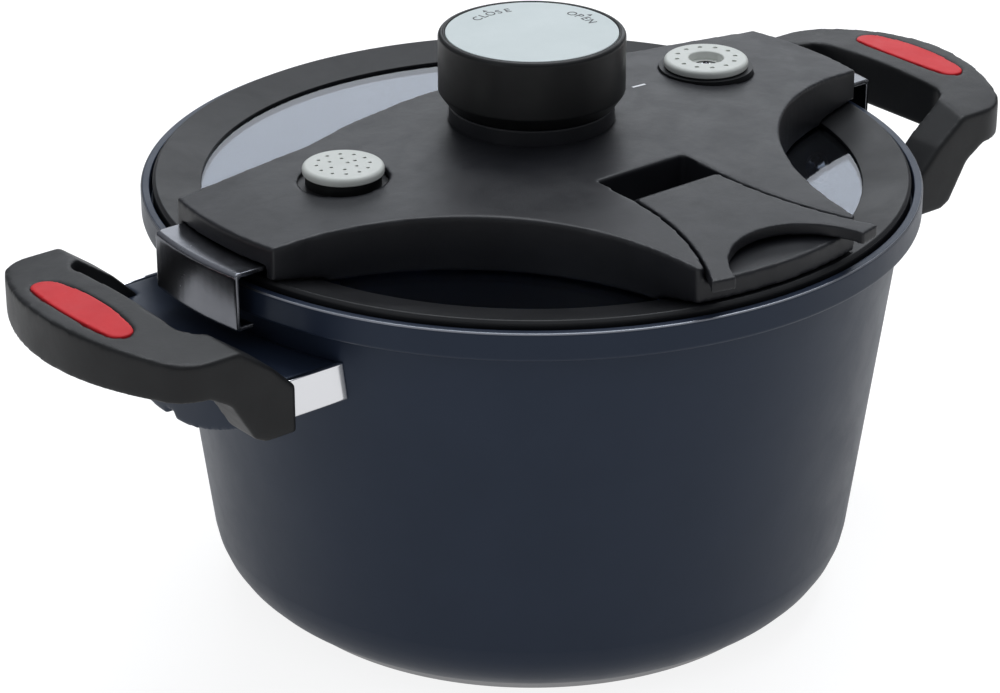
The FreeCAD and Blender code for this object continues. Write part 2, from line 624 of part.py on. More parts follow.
def makeStand():
    """Flip-up stand: a domed plate on a barrel, with two horns past the cover's edge."""
    tipY = root(d.standTipRadius * d.standTipRadius - d.standTipX * d.standTipX)
    hornY = root(d.standTipRadius * d.standTipRadius - d.standHornX * d.standHornX)
    blank = plate("StandBlank", [
        (-d.standHalf, -d.standHingeY, -d.standFlare), (-d.standTipX, -tipY, d.standTipRadius),
        (-d.standHornX, -hornY, -d.standNotch), (d.standHornX, -hornY, d.standTipRadius),
        (d.standTipX, -tipY, -d.standFlare), (d.standHalf, -d.standHingeY)],
        rim + d.slotFloor - 2, domeTop + 5)
    top = common("StandTop", blank, domed("StandDome", 0.0))
    leaf = cut("StandLeaf", top, domed("StandUnder", d.standThickness))
    barrelHalf = d.standHalf - d.slideGap
    barrel = barAlongX("StandBarrel", d.standBarrel, -barrelHalf, barrelHalf, -d.standHingeY, standZ)
    bore = barAlongX("StandBore", d.standPin + 0.3, -d.standHalf - 1, d.standHalf + 1,
                     -d.standHingeY, standZ)
    keep(cut("Stand", fuse("StandWhole", leaf, barrel), bore), "stand")
    keep(barAlongX("StandPin", d.standPin, -d.standHalf - 4.5, d.standHalf + 4.5,
                   -d.standHingeY, standZ), "stand_pin")


# ---------------------------------------------------------------- knob and lock
def makeKnob():
    top = rim + d.knobTop
    under = top - d.legendDepth
    foot = rim + d.knobFoot
    inner = d.knobRadius - d.knobWall
    screwTop = under - 2
    shankRadius = 2.0
    knob = turned("Knob", [
        (shankRadius, screwTop), (4.4, screwTop), (4.4, under), (d.legendRadius + 0.2, under),
        (d.legendRadius + 0.2, top), (d.knobRadius, top), (d.knobRadius, rim + d.knobSkirt),
        (d.knobFootRadius, foot), (d.knobFootRadius - d.knobWall, foot),
        (inner, rim + d.knobSkirt + 1), (inner, under - 3), (d.hubRadius, under - 3),
        (d.hubRadius, foot + 0.7), (d.spindleRadius, foot + 0.7), (d.spindleRadius, under - 4),
        (shankRadius, under - 4)])
    rounded(knob, 1.6, ringAt(d.knobRadius, top))
    rounded(knob, 1.5, ringAt(d.knobRadius, rim + d.knobSkirt))
    keep(knob, "knob_body")
    keep(rod("Legend", d.legendRadius, under, under + d.legendDepth - 0.1), "knob_disc")
    keep(turned("KnobScrew", [
        (0, under - 12), (shankRadius, under - 12), (shankRadius, screwTop), (3.8, screwTop),
        (3.8, under - 0.2), (0, under - 0.2)]), "knob_screw")
    camFoot = rim + d.camBottom
    keep(turned("Spindle", [
        (0, bridgeTop + 0.4), (3.0, bridgeTop + 0.4), (3.0, camFoot), (d.spindleRadius, camFoot),
        (d.spindleRadius, camFoot + 4), (d.spindleRadius + 3, camFoot + 4),
        (d.spindleRadius + 3, camFoot + 6), (d.spindleRadius, camFoot + 6),
        (d.spindleRadius, under - 4), (shankRadius, under - 4), (shankRadius, under - 12),
        (0, under - 12)]), "spindle")
    collar = turned("Collar", [
        (d.spindleRadius + d.runningGap, rim + d.collarSeat), (d.collarRadius, rim + d.collarSeat),
        (d.collarRadius, rim + d.collarTop), (d.spindleRadius + d.runningGap, rim + d.collarTop)])
    keep(collar, "knob_collar")


def spiral(offset, turn):
    """Points along a quarter-turn spiral slot: the pin circle shrinks evenly as it turns."""
    open_ = d.pinCircle + d.jawTravel
    points = []
    for step in range(10):
        angle = d.camQuarter * step / 9
        radius = open_ - d.jawTravel * angle / d.camQuarter + offset
        way = math.radians(angle + turn)
        points.append(Vector(radius * math.cos(way), radius * math.sin(way), 0))
    return points


def spiralSlot(turn):
    """One slot of the cam as a flat face."""
    half = d.pinRadius + d.slotClear
    outer, inner = spiral(half, turn), spiral(-half, turn)
    edges = []
    for points in (outer, inner[::-1]):
        curve = Part.BSplineCurve()
        curve.interpolate(points)
        edges.append(curve.toShape())
    middle = spiral(0, turn)
    ends = ((outer[-1], inner[-1], middle[-1], 1), (inner[0], outer[0], middle[0], -1))
    for start, end, centre, way in ends:
        along = Vector(-centre.y, centre.x, 0).normalize() * (way * half)
        edges.append(Part.Arc(start, centre + along, end).toShape())
    return Part.Face(Part.Wire(Part.__sortEdges__(edges)))


def makeCam():
    """Cam plate under the knob: two spiral slots that drive both jaws together."""
    foot = rim + d.camBottom
    blank = rod("CamBlank", d.camRadius, foot, foot + d.camThickness)
    hole = rod("CamHole", d.spindleRadius, foot - 1, foot + d.camThickness + 1)
    slots = []
    for side, turn in SIDES:
        slot = doc.addObject("Part::Feature", f"CamSlot{side}")
        slot.Shape = spiralSlot(turn).extrude(Vector(0, 0, d.camThickness + 2))
        slot.Placement = Placement(Vector(0, 0, foot - 1), Rotation())
        slots.append(slot)
    keep(cut("Cam", blank, hole, *slots), "cam_plate")


def makeJaw(side, turn):
    """One jaw: a bar to the cam, a curved face outside the rim and a lip that bites under it."""
    inner = d.flangeRadius + d.jawGap
    outer = inner + d.jawSheet
    foot = rim - d.jawDrop
    bite = d.flangeRadius - d.jawBite
    blank = plate(f"JawPlan{side}", [
        (d.jawBarEnd, -d.jawBarHalf), (d.jawShoulderX - 3, -d.jawBarHalf),
        (d.jawShoulderX + 3, -d.jawHalf), (REACH, -d.jawHalf), (REACH, d.jawHalf), (d.jawShoulderX + 3, d.jawHalf),
        (d.jawShoulderX - 3, d.jawBarHalf), (d.jawBarEnd, d.jawBarHalf)], foot - 1, barTop + 1)
    ring = turned(f"JawRing{side}", [
        (bite, foot), (outer, foot), (outer, barTop), (0, barTop), (0, barFoot),
        (inner, barFoot), (inner, foot + d.jawSheet), (bite, foot + d.jawSheet)])
    rounded(ring, 1.5, ringAt(outer, barTop))
    rounded(ring, 0.9, ringAt(outer, foot))
    formed = common(f"JawForm{side}", blank, ring)
    pin = rod(f"JawPinHole{side}", d.pinRadius - 0.6, barFoot - 1, barTop + 1, d.pinCircle)
    clear = d.stemRadius + 0.6
    window = [box(f"JawWindow{side}", (d.valveX - d.jawTravel, d.valveX), (-clear, clear),
                  (barFoot - 1, barTop + 1))]
    for index, x in enumerate((d.valveX - d.jawTravel, d.valveX)):
        window.append(rod(f"JawWindowEnd{side}{index}", clear, barFoot - 1, barTop + 1, x))
    jaw = cut(f"Jaw{side}", formed, pin, *window)
    camTop = rim + d.camBottom + d.camThickness
    follower = turned(f"Follower{side}", [
        (0, barFoot), (d.pinRadius - 0.6, barFoot), (d.pinRadius - 0.6, barTop),
        (d.pinRadius, barTop), (d.pinRadius, camTop + 0.6), (0, camTop + 0.6)])
    out = Rotation(Vector(0, 0, 1), turn)
    for piece, label, x in ((jaw, f"jaw_{side}", d.jawTravel),
                            (follower, f"jaw_pin_{side}", d.jawTravel + d.pinCircle)):
        piece.Placement = Placement(out.multVec(Vector(x, 0, 0)), out)
        bind(piece, "Placement.Base.x", x if turn == 0 else -x)
        keep(piece, label)


# ---------------------------------------------------------------- valves
def vents(count, circle, low, high, prefix):
    """A ring of small upright holes."""
    made = []
    for step in range(count):
        way = 2 * math.pi * step / count
        made.append(rod(f"{prefix}{count}_{step}", d.ventRadius, low, high,
                        circle * math.cos(way), circle * math.sin(way)))
    return made


def place(x, pieces):
    """Move a valve's pieces to its own X and count them."""
    for piece, label in pieces:
        bind(piece, "Placement.Base.x", x)
        keep(piece, label)


def makeValve(name, way, bore, seatTop):
    """Pieces that both valves share: stem, gasket, nut, cup and the ring under the cap."""
    gasketFoot = glassFoot - d.gasketThickness
    nutFoot = gasketFoot - d.nutHeight
    floor = rim + d.cupFloor
    flange = bridgeTop + d.stemFlange
    flangeRadius = d.gasketRadius - 1
    stemTop = floor + d.cupBase
    stem = turned(f"{name}Stem", [
        (bore, rim - d.stemBelow), (d.stemRadius, rim - d.stemBelow), (d.stemRadius, bridgeTop),
        (flangeRadius, bridgeTop), (flangeRadius, flange), (d.stemRadius, flange),
        (d.stemRadius, stemTop), (bore, stemTop)])
    gasket = turned(f"{name}Gasket", [
        (d.stemRadius, gasketFoot), (d.gasketRadius, gasketFoot), (d.gasketRadius, glassFoot),
        (d.stemRadius, glassFoot)])
    prism = doc.addObject("Part::Prism", f"{name}NutBlank")
    prism.Polygon = 6
    bind(prism, "Circumradius", d.nutAcross / math.sqrt(3))
    bind(prism, "Height", d.nutHeight)
    bind(prism, "Placement.Base.z", nutFoot)
    nut = cut(f"{name}Nut", prism, rod(f"{name}NutBore", d.stemRadius, nutFoot - 1, gasketFoot + 1))
    inner = d.cupRadius - d.cupWall
    cup = turned(f"{name}Cup", [
        (d.stemRadius, floor), (d.cupRadius, floor), (d.cupRadius, rim + d.cupTop),
        (inner, rim + d.cupTop), (inner, stemTop), (d.stemRadius, stemTop)])
    foot, skirtFoot = rim + d.seatFoot, rim + d.capSkirtFoot
    ring = turned(f"{name}Seat", [
        (d.cupRadius, foot), (seatRadius[name], foot), (seatRadius[name], seatTop),
        (d.capSkirt, seatTop), (d.capSkirt, skirtFoot), (d.cupRadius, skirtFoot)])
    place(way * d.valveX, ((stem, f"{name}_stem"), (gasket, f"{name}_gasket"), (nut, f"{name}_nut"),
                           (cup, f"{name}_cup"), (ring, f"{name}_seat_ring")))


def makeReliefValve():
    """Sieve cap over a weighted plunger that a spring holds down on the stem."""
    top, foot = rim + d.capTop, rim + d.capFoot
    roof = top - d.capRoof
    skirtFoot = rim + d.capSkirtFoot
    cap = turned("ReliefCapBlank", [
        (0, top), (d.reliefCapRadius, top), (d.reliefCapRadius, foot), (d.capSkirt, foot),
        (d.capSkirt, skirtFoot), (d.cupRadius, skirtFoot), (d.cupRadius, roof), (0, roof)])
    rounded(cap, d.capRound, ringAt(d.reliefCapRadius, top))
    holes = []
    for count, circle in ((3, 1.8), (6, 4.7), (12, 8.6)):
        holes += vents(count, circle, roof - 1, top + 1, "ReliefVent")
    cap = cut("ReliefCap", cap, fuse("ReliefVents", *holes))
    seatZ = rim + d.cupFloor + d.cupBase
    plunger = turned("ReliefPlunger", [
        (0, seatZ - 1.2), (1.2, seatZ - 1.2), (1.8, seatZ + 0.3), (7.5, seatZ + 0.3), (7.5, seatZ + 2.4),
        (3.0, seatZ + 2.4), (3.0, seatZ + 5.0), (0, seatZ + 5.0)])
    coil = doc.addObject("Part::Helix", "ReliefCoilPath")
    bind(coil, "Pitch", d.coilPitch)
    bind(coil, "Height", d.coilHeight)
    bind(coil, "Radius", d.coilRadius)
    wire = doc.addObject("Part::Circle", "ReliefCoilWire")
    bind(wire, "Radius", d.coilWire)
    wire.Placement = Placement(Vector(d.coilRadius, 0, 0), Rotation(Vector(1, 0, 0), 90))
    bind(wire, "Placement.Base.x", d.coilRadius)
    spring = doc.addObject("Part::Sweep", "ReliefSpring")
    spring.Sections, spring.Spine, spring.Solid, spring.Frenet = [wire], (coil, []), True, True
    doc.recompute()
    bind(spring, "Placement.Base.z", seatZ + 3)
    place(-d.valveX, ((cap, "relief_cap"), (plunger, "relief_plunger"), (spring, "relief_spring")))


def makeFloatValve():
    """Open cap round a pin that steam lifts until its seal closes the stem from below."""
    top, foot = rim + d.capTop, rim + d.capFoot
    floor = top - d.floatDrop
    roof = floor - d.capRoof
    bore = d.floatHeadRadius + d.runningGap
    skirtFoot = rim + d.capSkirtFoot
    cap = turned("FloatCapBlank", [
        (bore, floor), (d.floatWell, floor), (d.floatWell, top), (d.floatCapRadius, top),
        (d.floatCapRadius, foot), (d.capSkirt, foot), (d.capSkirt, skirtFoot), (d.cupRadius, skirtFoot),
        (d.cupRadius, roof), (bore, roof)])
    rounded(cap, d.capRound, ringAt(d.floatCapRadius, top))
    dimples = vents(12, 10.2, top - d.ventRadius, top + 1, "FloatDimple")
    cap = cut("FloatCap", cap, fuse("FloatDimples", *dimples))
    sealTop = rim - d.stemBelow - d.floatRise - 0.3
    groove = sealTop - 1.5
    shank, head = d.floatStemRadius, d.floatHeadRadius
    pin = turned("FloatPin", [
        (0, groove - 1.5), (5.0, groove - 1.5), (5.0, groove), (shank, groove), (shank, roof + 0.2),
        (head, roof + 0.2), (head, floor - 0.2), (1.1, floor + 1.0), (1.1, floor - 0.8),
        (0, floor - 0.8)])
    ring = turned("FloatSeal", [(shank, groove), (5.2, groove), (5.2, sealTop), (shank, sealTop)])
    place(d.valveX, ((cap, "float_cap"), (pin, "float_pin"), (ring, "float_seal")))


# ---------------------------------------------------------------- build, check and write
makePot()
for side, turn in SIDES:
    screwRoom = makeHandle(side, turn)
    makeRivets(side, turn, makeBracket(side, turn, screwRoom))
makeGlassAndSeal()
coverScrews = makeBridge()
makeGuides()
makeCover(coverScrews)
makeStand()
makeKnob()
makeCam()
for side, turn in SIDES:
    makeJaw(side, turn)
makeValve("relief", -1, d.reliefBore, rim + d.reliefSeatTop)
makeValve("float", 1, d.floatBore, rim + d.floatSeatTop)
makeReliefValve()
makeFloatValve()
doc.recompute()

for thing in doc.Objects:
    if "Invalid" in thing.State or "Error" in thing.State:
        raise RuntimeError(f"{thing.Name} failed: {thing.State}")
for thing in parts:
    if thing.Shape.isNull() or not thing.Shape.isValid() or not thing.Shape.Solids:
        raise RuntimeError(f"{thing.Label} is not a valid solid")

os.makedirs("parts", exist_ok=True)
for thing in parts:
    thing.Shape.exportStep(f"parts/{thing.Label}.step")
    print(f"{thing.Label:22s} {len(thing.Shape.Solids)} solid(s) {thing.Shape.Volume / 1000:9.2f} cm3")
print(len(parts), "sub-parts")
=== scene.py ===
import json
import math

import bmesh
import bpy
from mathutils import Matrix, Vector


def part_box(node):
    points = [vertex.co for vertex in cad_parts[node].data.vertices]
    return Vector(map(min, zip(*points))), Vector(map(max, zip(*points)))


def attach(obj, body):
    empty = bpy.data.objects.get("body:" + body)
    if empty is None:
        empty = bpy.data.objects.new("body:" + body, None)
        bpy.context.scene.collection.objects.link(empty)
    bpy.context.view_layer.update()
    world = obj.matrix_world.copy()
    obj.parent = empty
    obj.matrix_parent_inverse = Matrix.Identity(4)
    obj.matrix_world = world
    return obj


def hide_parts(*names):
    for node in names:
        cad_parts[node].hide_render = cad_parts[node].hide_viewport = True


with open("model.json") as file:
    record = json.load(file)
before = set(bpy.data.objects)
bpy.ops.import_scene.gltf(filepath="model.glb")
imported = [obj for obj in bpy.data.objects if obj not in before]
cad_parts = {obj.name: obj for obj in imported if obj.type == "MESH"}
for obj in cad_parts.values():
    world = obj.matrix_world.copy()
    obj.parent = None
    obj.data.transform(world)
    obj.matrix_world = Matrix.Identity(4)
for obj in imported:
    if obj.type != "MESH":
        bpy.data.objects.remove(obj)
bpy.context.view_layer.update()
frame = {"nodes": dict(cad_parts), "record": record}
cad = frame["nodes"]
scene = bpy.context.scene
print("frame loaded:", len(cad), "CAD nodes")

# heights and sizes taken from the frame, in metres
mm = 0.001
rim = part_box("pot_body")[1].z
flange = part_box("pot_body")[1].x
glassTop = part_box("lid_glass")[1].z
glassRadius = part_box("lid_glass")[1].x
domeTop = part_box("lid_cover")[1].z
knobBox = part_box("knob_body")
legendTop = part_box("knob_disc")[1].z
sides = ("right", "left")

# shared by many pieces
fineRound, softRound = 0.2 * mm, 0.3 * mm  # small edge rounds
weld = 0.002 * mm  # points closer than this become one
onAxis = 0.0001 * mm  # a corner nearer the axis than this is a single point
sharpAngle = 38.0  # degrees: edges that turn more than this stay crisp


# shader groups shared by the finishes
def newGroup(name, sockets):
    group = bpy.data.node_groups.new(name, "ShaderNodeTree")
    for label, way, kind in sockets:
        group.interface.new_socket(name=label, in_out=way, socket_type=kind)
    return group, group.nodes.new("NodeGroupInput"), group.nodes.new("NodeGroupOutput")


def makeNoise(tree, scale, detail=3.0, roughness=0.55):
    noise = tree.nodes.new("ShaderNodeTexNoise")
    noise.inputs["Scale"].default_value = scale
    noise.inputs["Detail"].default_value = detail
    noise.inputs["Roughness"].default_value = roughness
    return noise


def makeRamp(tree, low, high, start=(0, 0, 0, 1), end=(1, 1, 1, 1)):
    ramp = tree.nodes.new("ShaderNodeValToRGB")
    ramp.color_ramp.elements[0].position = low
    ramp.color_ramp.elements[1].position = high
    ramp.color_ramp.elements[0].color = start
    ramp.color_ramp.elements[1].color = end
    return ramp


def buildGrain():
    # height of a moulded or sprayed skin: fine pits over a slow swell
    group, start, end = newGroup("fineGrain", [
        ("Vector", "INPUT", "NodeSocketVector"), ("Pitch", "INPUT", "NodeSocketFloat"),
        ("Swell", "INPUT", "NodeSocketFloat"), ("Height", "OUTPUT", "NodeSocketFloat")])
    fine = makeNoise(group, 1.0, 2.0, 0.6)
    slow = makeNoise(group, 1.0, 1.0, 0.5)
    tenth = group.nodes.new("ShaderNodeMath")
    tenth.operation = "MULTIPLY"
    tenth.inputs[1].default_value = 0.12  # the swell is about eight pits wide
    weighted = group.nodes.new("ShaderNodeMath")
    weighted.operation = "MULTIPLY"
    total = group.nodes.new("ShaderNodeMath")
    link = group.links.new
    link(start.outputs["Vector"], fine.inputs["Vector"])
    link(start.outputs["Vector"], slow.inputs["Vector"])
    link(start.outputs["Pitch"], fine.inputs["Scale"])
    link(start.outputs["Pitch"], tenth.inputs[0])
    link(tenth.outputs[0], slow.inputs["Scale"])
    link(slow.outputs["Fac"], weighted.inputs[0])
    link(start.outputs["Swell"], weighted.inputs[1])
    link(fine.outputs["Fac"], total.inputs[0])
    link(weighted.outputs[0], total.inputs[1])
    link(total.outputs[0], end.inputs["Height"])
    return group


def buildMarks():
    # roughness that wanders between two values, with cloudy patches and fine rubbing
    group, start, end = newGroup("handlingMarks", [
        ("Vector", "INPUT", "NodeSocketVector"), ("Pitch", "INPUT", "NodeSocketFloat"),
        ("Low", "INPUT", "NodeSocketFloat"), ("High", "INPUT", "NodeSocketFloat"),
        ("Roughness", "OUTPUT", "NodeSocketFloat")])
    cloud = makeNoise(group, 1.0, 5.0, 0.65)
    cloud.inputs["Distortion"].default_value = 0.4
    spread = group.nodes.new("ShaderNodeMapRange")
    spread.inputs["From Min"].default_value = 0.35
    spread.inputs["From Max"].default_value = 0.68
    link = group.links.new
    link(start.outputs["Vector"], cloud.inputs["Vector"])
    link(start.outputs["Pitch"], cloud.inputs["Scale"])
    link(cloud.outputs["Fac"], spread.inputs["Value"])
    link(start.outputs["Low"], spread.inputs["To Min"])
    link(start.outputs["High"], spread.inputs["To Max"])
    link(spread.outputs["Result"], end.inputs["Roughness"])
    return group


def buildTone():
    # two close colours mottled together, and a worn colour along raised edges
    group, start, end = newGroup("tonedSurface", [
        ("Vector", "INPUT", "NodeSocketVector"), ("Pitch", "INPUT", "NodeSocketFloat"),
        ("Deep", "INPUT", "NodeSocketColor"), ("Pale", "INPUT", "NodeSocketColor"),
        ("Worn", "INPUT", "NodeSocketColor"), ("Wear", "INPUT", "NodeSocketFloat"),
        ("Color", "OUTPUT", "NodeSocketColor")])
    cloud = makeNoise(group, 1.0, 4.0, 0.6)
    ramp = makeRamp(group, 0.36, 0.66)
    mottled = group.nodes.new("ShaderNodeMix")
    mottled.data_type = "RGBA"
    shape = group.nodes.new("ShaderNodeNewGeometry")
    edges = makeRamp(group, 0.52, 0.60)
    rubbed = group.nodes.new("ShaderNodeMath")
    rubbed.operation = "MULTIPLY"
    broken = group.nodes.new("ShaderNodeMath")
    broken.operation = "MULTIPLY"
    worn = group.nodes.new("ShaderNodeMix")
    worn.data_type = "RGBA"
    link = group.links.new
    link(start.outputs["Vector"], cloud.inputs["Vector"])
    link(start.outputs["Pitch"], cloud.inputs["Scale"])
    link(cloud.outputs["Fac"], ramp.inputs["Fac"])
    link(ramp.outputs["Color"], mottled.inputs[0])
    link(start.outputs["Deep"], mottled.inputs[6])
    link(start.outputs["Pale"], mottled.inputs[7])
    link(shape.outputs["Pointiness"], edges.inputs["Fac"])
    link(edges.outputs["Color"], rubbed.inputs[0])
    link(start.outputs["Wear"], rubbed.inputs[1])
    link(rubbed.outputs[0], broken.inputs[0])
    link(cloud.outputs["Fac"], broken.inputs[1])
    link(broken.outputs[0], worn.inputs[0])
    link(mottled.outputs[2], worn.inputs[6])
    link(start.outputs["Worn"], worn.inputs[7])
    link(worn.outputs[2], end.inputs["Color"])
    return group


def buildBrushing():
    # height of fine scratches: straight along X, or rings about Z when Round is 1
    group, start, end = newGroup("brushedLines", [
        ("Vector", "INPUT", "NodeSocketVector"), ("Pitch", "INPUT", "NodeSocketFloat"),
        ("Round", "INPUT", "NodeSocketFloat"), ("Height", "OUTPUT", "NodeSocketFloat")])
    split = group.nodes.new("ShaderNodeSeparateXYZ")
    radius = group.nodes.new("ShaderNodeVectorMath")
    radius.operation = "LENGTH"
    flat = group.nodes.new("ShaderNodeCombineXYZ")
    straight = group.nodes.new("ShaderNodeCombineXYZ")
    slow = group.nodes.new("ShaderNodeMath")
    slow.operation = "MULTIPLY"
    slow.inputs[1].default_value = 0.02
    rings = group.nodes.new("ShaderNodeCombineXYZ")
    chosen = group.nodes.new("ShaderNodeMix")
    chosen.data_type = "VECTOR"
    lines = makeNoise(group, 1.0, 2.0, 0.7)
    link = group.links.new
    link(start.outputs["Vector"], split.inputs[0])
    link(split.outputs["X"], flat.inputs["X"])
    link(split.outputs["Y"], flat.inputs["Y"])
    link(flat.outputs[0], radius.inputs[0])
    link(radius.outputs["Value"], rings.inputs["X"])
    link(split.outputs["X"], slow.inputs[0])
    link(slow.outputs[0], straight.inputs["X"])
    link(split.outputs["Y"], straight.inputs["Y"])
    link(split.outputs["Z"], straight.inputs["Z"])
    link(start.outputs["Round"], chosen.inputs[0])
    link(straight.outputs[0], chosen.inputs[4])
    link(rings.outputs[0], chosen.inputs[5])
    link(chosen.outputs[1], lines.inputs["Vector"])
    link(start.outputs["Pitch"], lines.inputs["Scale"])
    link(lines.outputs["Fac"], end.inputs["Height"])
    return group


groups = {"grain": buildGrain(), "marks": buildMarks(), "tone": buildTone(), "brushing": buildBrushing()}
print("shader groups built")


# finishes: one for each slot, and a few more for turned faces and print
def newFinish(name, values):
    material = bpy.data.materials.new(name)
    material.use_nodes = True
    shader = material.node_tree.nodes["Principled BSDF"]
    for socket, value in values.items():
        shader.inputs[socket].default_value = value
    coords = material.node_tree.nodes.new("ShaderNodeTexCoord")
    coords.location = (-900, 0)
    return material, shader, coords.outputs["Object"]


def addGroup(material, coords, key, values):
    node = material.node_tree.nodes.new("ShaderNodeGroup")
    node.node_tree = groups[key]
    material.node_tree.links.new(coords, node.inputs["Vector"])
    for socket, value in values.items():
        node.inputs[socket].default_value = value
    return node


def addBump(material, shader, height, strength, distance):
    bump = material.node_tree.nodes.new("ShaderNodeBump")
    bump.inputs["Strength"].default_value = strength
    bump.inputs["Distance"].default_value = distance
    material.node_tree.links.new(height, bump.inputs["Height"])
    material.node_tree.links.new(bump.outputs["Normal"], shader.inputs["Normal"])


def moulded(name, deep, pale, worn, rough, grain, wear=0.6, plain=None):
    # plastics, rubber and coatings: toned colour, wandering roughness and a fine skin
    values = {"IOR": 1.5}
    values.update(plain or {})
    material, shader, coords = newFinish(name, values)
    link = material.node_tree.links.new
    tone = addGroup(material, coords, "tone", {
        "Pitch": grain["patch"], "Deep": (*deep, 1), "Pale": (*pale, 1), "Worn": (*worn, 1), "Wear": wear})
    link(tone.outputs["Color"], shader.inputs["Base Color"])
    marks = addGroup(material, coords, "marks", {
        "Pitch": grain["patch"] * 1.7, "Low": rough[0], "High": rough[1]})  # finer than the colour patches
    link(marks.outputs["Roughness"], shader.inputs["Roughness"])
    skin = addGroup(material, coords, "grain", {"Pitch": grain["pitch"], "Swell": grain["swell"]})
    addBump(material, shader, skin.outputs["Height"], grain["strength"], grain["depth"])
    return material


def metal(name, colour, rough, lines, ringed=0.0, plain=None):
    values = {"Base Color": (*colour, 1), "Metallic": 1.0}
    values.update(plain or {})
    material, shader, coords = newFinish(name, values)
    marks = addGroup(material, coords, "marks", {"Pitch": 90.0, "Low": rough[0], "High": rough[1]})
    material.node_tree.links.new(marks.outputs["Roughness"], shader.inputs["Roughness"])
    scratches = addGroup(material, coords, "brushing", {"Pitch": lines["pitch"], "Round": ringed})
    addBump(material, shader, scratches.outputs["Height"], lines["strength"], lines["depth"])
    return material


def makeFinishes():
    coatGrain = {"patch": 28.0, "pitch": 2400.0, "swell": 1.2, "strength": 0.22, "depth": 0.06 * mm}
    mouldGrain = {"patch": 40.0, "pitch": 2600.0, "swell": 0.9, "strength": 0.45, "depth": 0.10 * mm}
    smoothGrain = {"patch": 55.0, "pitch": 1500.0, "swell": 1.5, "strength": 0.12, "depth": 0.05 * mm}
    made = {
        "pot_coating": moulded("satinCoating", (0.0160, 0.0230, 0.042), (0.0185, 0.0260, 0.047),
                               (0.034, 0.047, 0.076), (0.33, 0.41), coatGrain, 0.4,
                               {"Specular IOR Level": 0.34, "Specular Tint": (0.72, 0.84, 1.0, 1)}),
        "handle_phenolic": moulded("handlePhenolic", (0.0095, 0.0098, 0.0105), (0.013, 0.0133, 0.014),
                                   (0.030, 0.030, 0.032), (0.38, 0.48), mouldGrain, 0.35,
                                   {"Specular IOR Level": 0.34}),
        "cover_plastic": moulded("coverPlastic", (0.0095, 0.0099, 0.0125), (0.0135, 0.0140, 0.0172),
                                 (0.055, 0.056, 0.060), (0.36, 0.46), mouldGrain, 0.55,
                                 {"Specular IOR Level": 0.42}),
        "knob_plastic": moulded("knobPlastic", (0.0040, 0.0042, 0.0045), (0.0058, 0.0060, 0.0064),
                                (0.016, 0.016, 0.017), (0.34, 0.44), smoothGrain, 0.3,
                                {"Specular IOR Level": 0.38}),
        "seal_silicone": moulded("ringSilicone", (0.0058, 0.0060, 0.0072), (0.0082, 0.0085, 0.0100),
                                 (0.024, 0.025, 0.027), (0.40, 0.50), coatGrain, 0.3,
                                 {"Specular IOR Level": 0.36}),
        "red_inlay": moulded("redInlay", (0.66, 0.020, 0.028), (0.71, 0.027, 0.034),
                             (0.74, 0.06, 0.06), (0.40, 0.52), smoothGrain, 0.3,
                             {"Specular IOR Level": 0.20}),
        "pale_plastic": moulded("capPlastic", (0.60, 0.615, 0.575), (0.64, 0.655, 0.615),
                                (0.80, 0.81, 0.78), (0.34, 0.46), smoothGrain, 0.0),
        "legend_plate": moulded("legendPlate", (0.59, 0.65, 0.64), (0.62, 0.68, 0.67),
                                (0.72, 0.76, 0.73), (0.40, 0.50), smoothGrain, 0.0),
        "base_steel": metal("plateSteel", (0.56, 0.56, 0.57), (0.24, 0.36),
                            {"pitch": 2200.0, "strength": 0.18, "depth": 0.04 * mm}),
        "bright_steel": metal("polishedSteel", (0.93, 0.93, 0.95), (0.06, 0.12),
                              {"pitch": 900.0, "strength": 0.04, "depth": 0.03 * mm}),
        "jaw_steel": metal("jawSteel", (0.20, 0.205, 0.225), (0.20, 0.28),
                           {"pitch": 2600.0, "strength": 0.06, "depth": 0.02 * mm}),
        "bronze": metal("bushBronze", (0.62, 0.42, 0.20), (0.22, 0.34),
                        {"pitch": 1800.0, "strength": 0.15, "depth": 0.04 * mm}, 1.0),
    }
    # turned steel of the base disc: ringed scratches, and a colour darker than the plate steel that paints
    # the shade under the pot
    made["turnedSteel"] = metal("turnedBase", (0.42, 0.42, 0.43), (0.28, 0.40),
                                {"pitch": 3000.0, "strength": 0.25, "depth": 0.05 * mm}, 1.0)
    made["machined"] = metal("machinedRim", (0.30, 0.31, 0.34), (0.30, 0.40),
                             {"pitch": 1500.0, "strength": 0.1, "depth": 0.03 * mm}, 1.0)
    made["print"] = moulded("legendInk", (0.035, 0.038, 0.04), (0.045, 0.048, 0.05),
                            (0.06, 0.06, 0.06), (0.45, 0.55), smoothGrain, 0.2)
    made["index"] = moulded("indexPaint", (0.78, 0.78, 0.80), (0.84, 0.84, 0.86),
                            (0.86, 0.86, 0.87), (0.40, 0.50), smoothGrain, 0.2)
    glass, shader, coords = newFinish("lidGlass", {
        "Base Color": (0.80, 0.87, 0.98, 1), "IOR": 1.6, "Specular Tint": (0.60, 0.68, 0.86, 1),
        "Transmission Weight": 1.0, "Metallic": 0.0})
    marks = addGroup(glass, coords, "marks", {"Pitch": 30.0, "Low": 0.015, "High": 0.05})
    glass.node_tree.links.new(marks.outputs["Roughness"], shader.inputs["Roughness"])
    made["glass"] = glass
    return made


finishes = makeFinishes()
print("finishes made:", len(finishes))

# every CAD node that stays in view takes its slot's finish
for entry in frame["record"]["subparts"]:
    for holder in cad[entry["node"]].material_slots:
        holder.material = finishes[entry["material_slot"]]


# helpers that make a mesh and hand it to its body
def addPiece(name, mesh, finish):
    piece = bpy.data.objects.new(name, mesh)
    scene.collection.objects.link(piece)
    mesh.materials.clear()
    mesh.materials.append(finish)
    return piece


def settle(piece, body, slot, *replaced):
    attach(piece, body)
    if replaced:
        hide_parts(*replaced)


def smooth(mesh, sharp=sharpAngle):
    mesh.shade_smooth()
    mesh.set_sharp_from_angle(angle=math.radians(sharp))


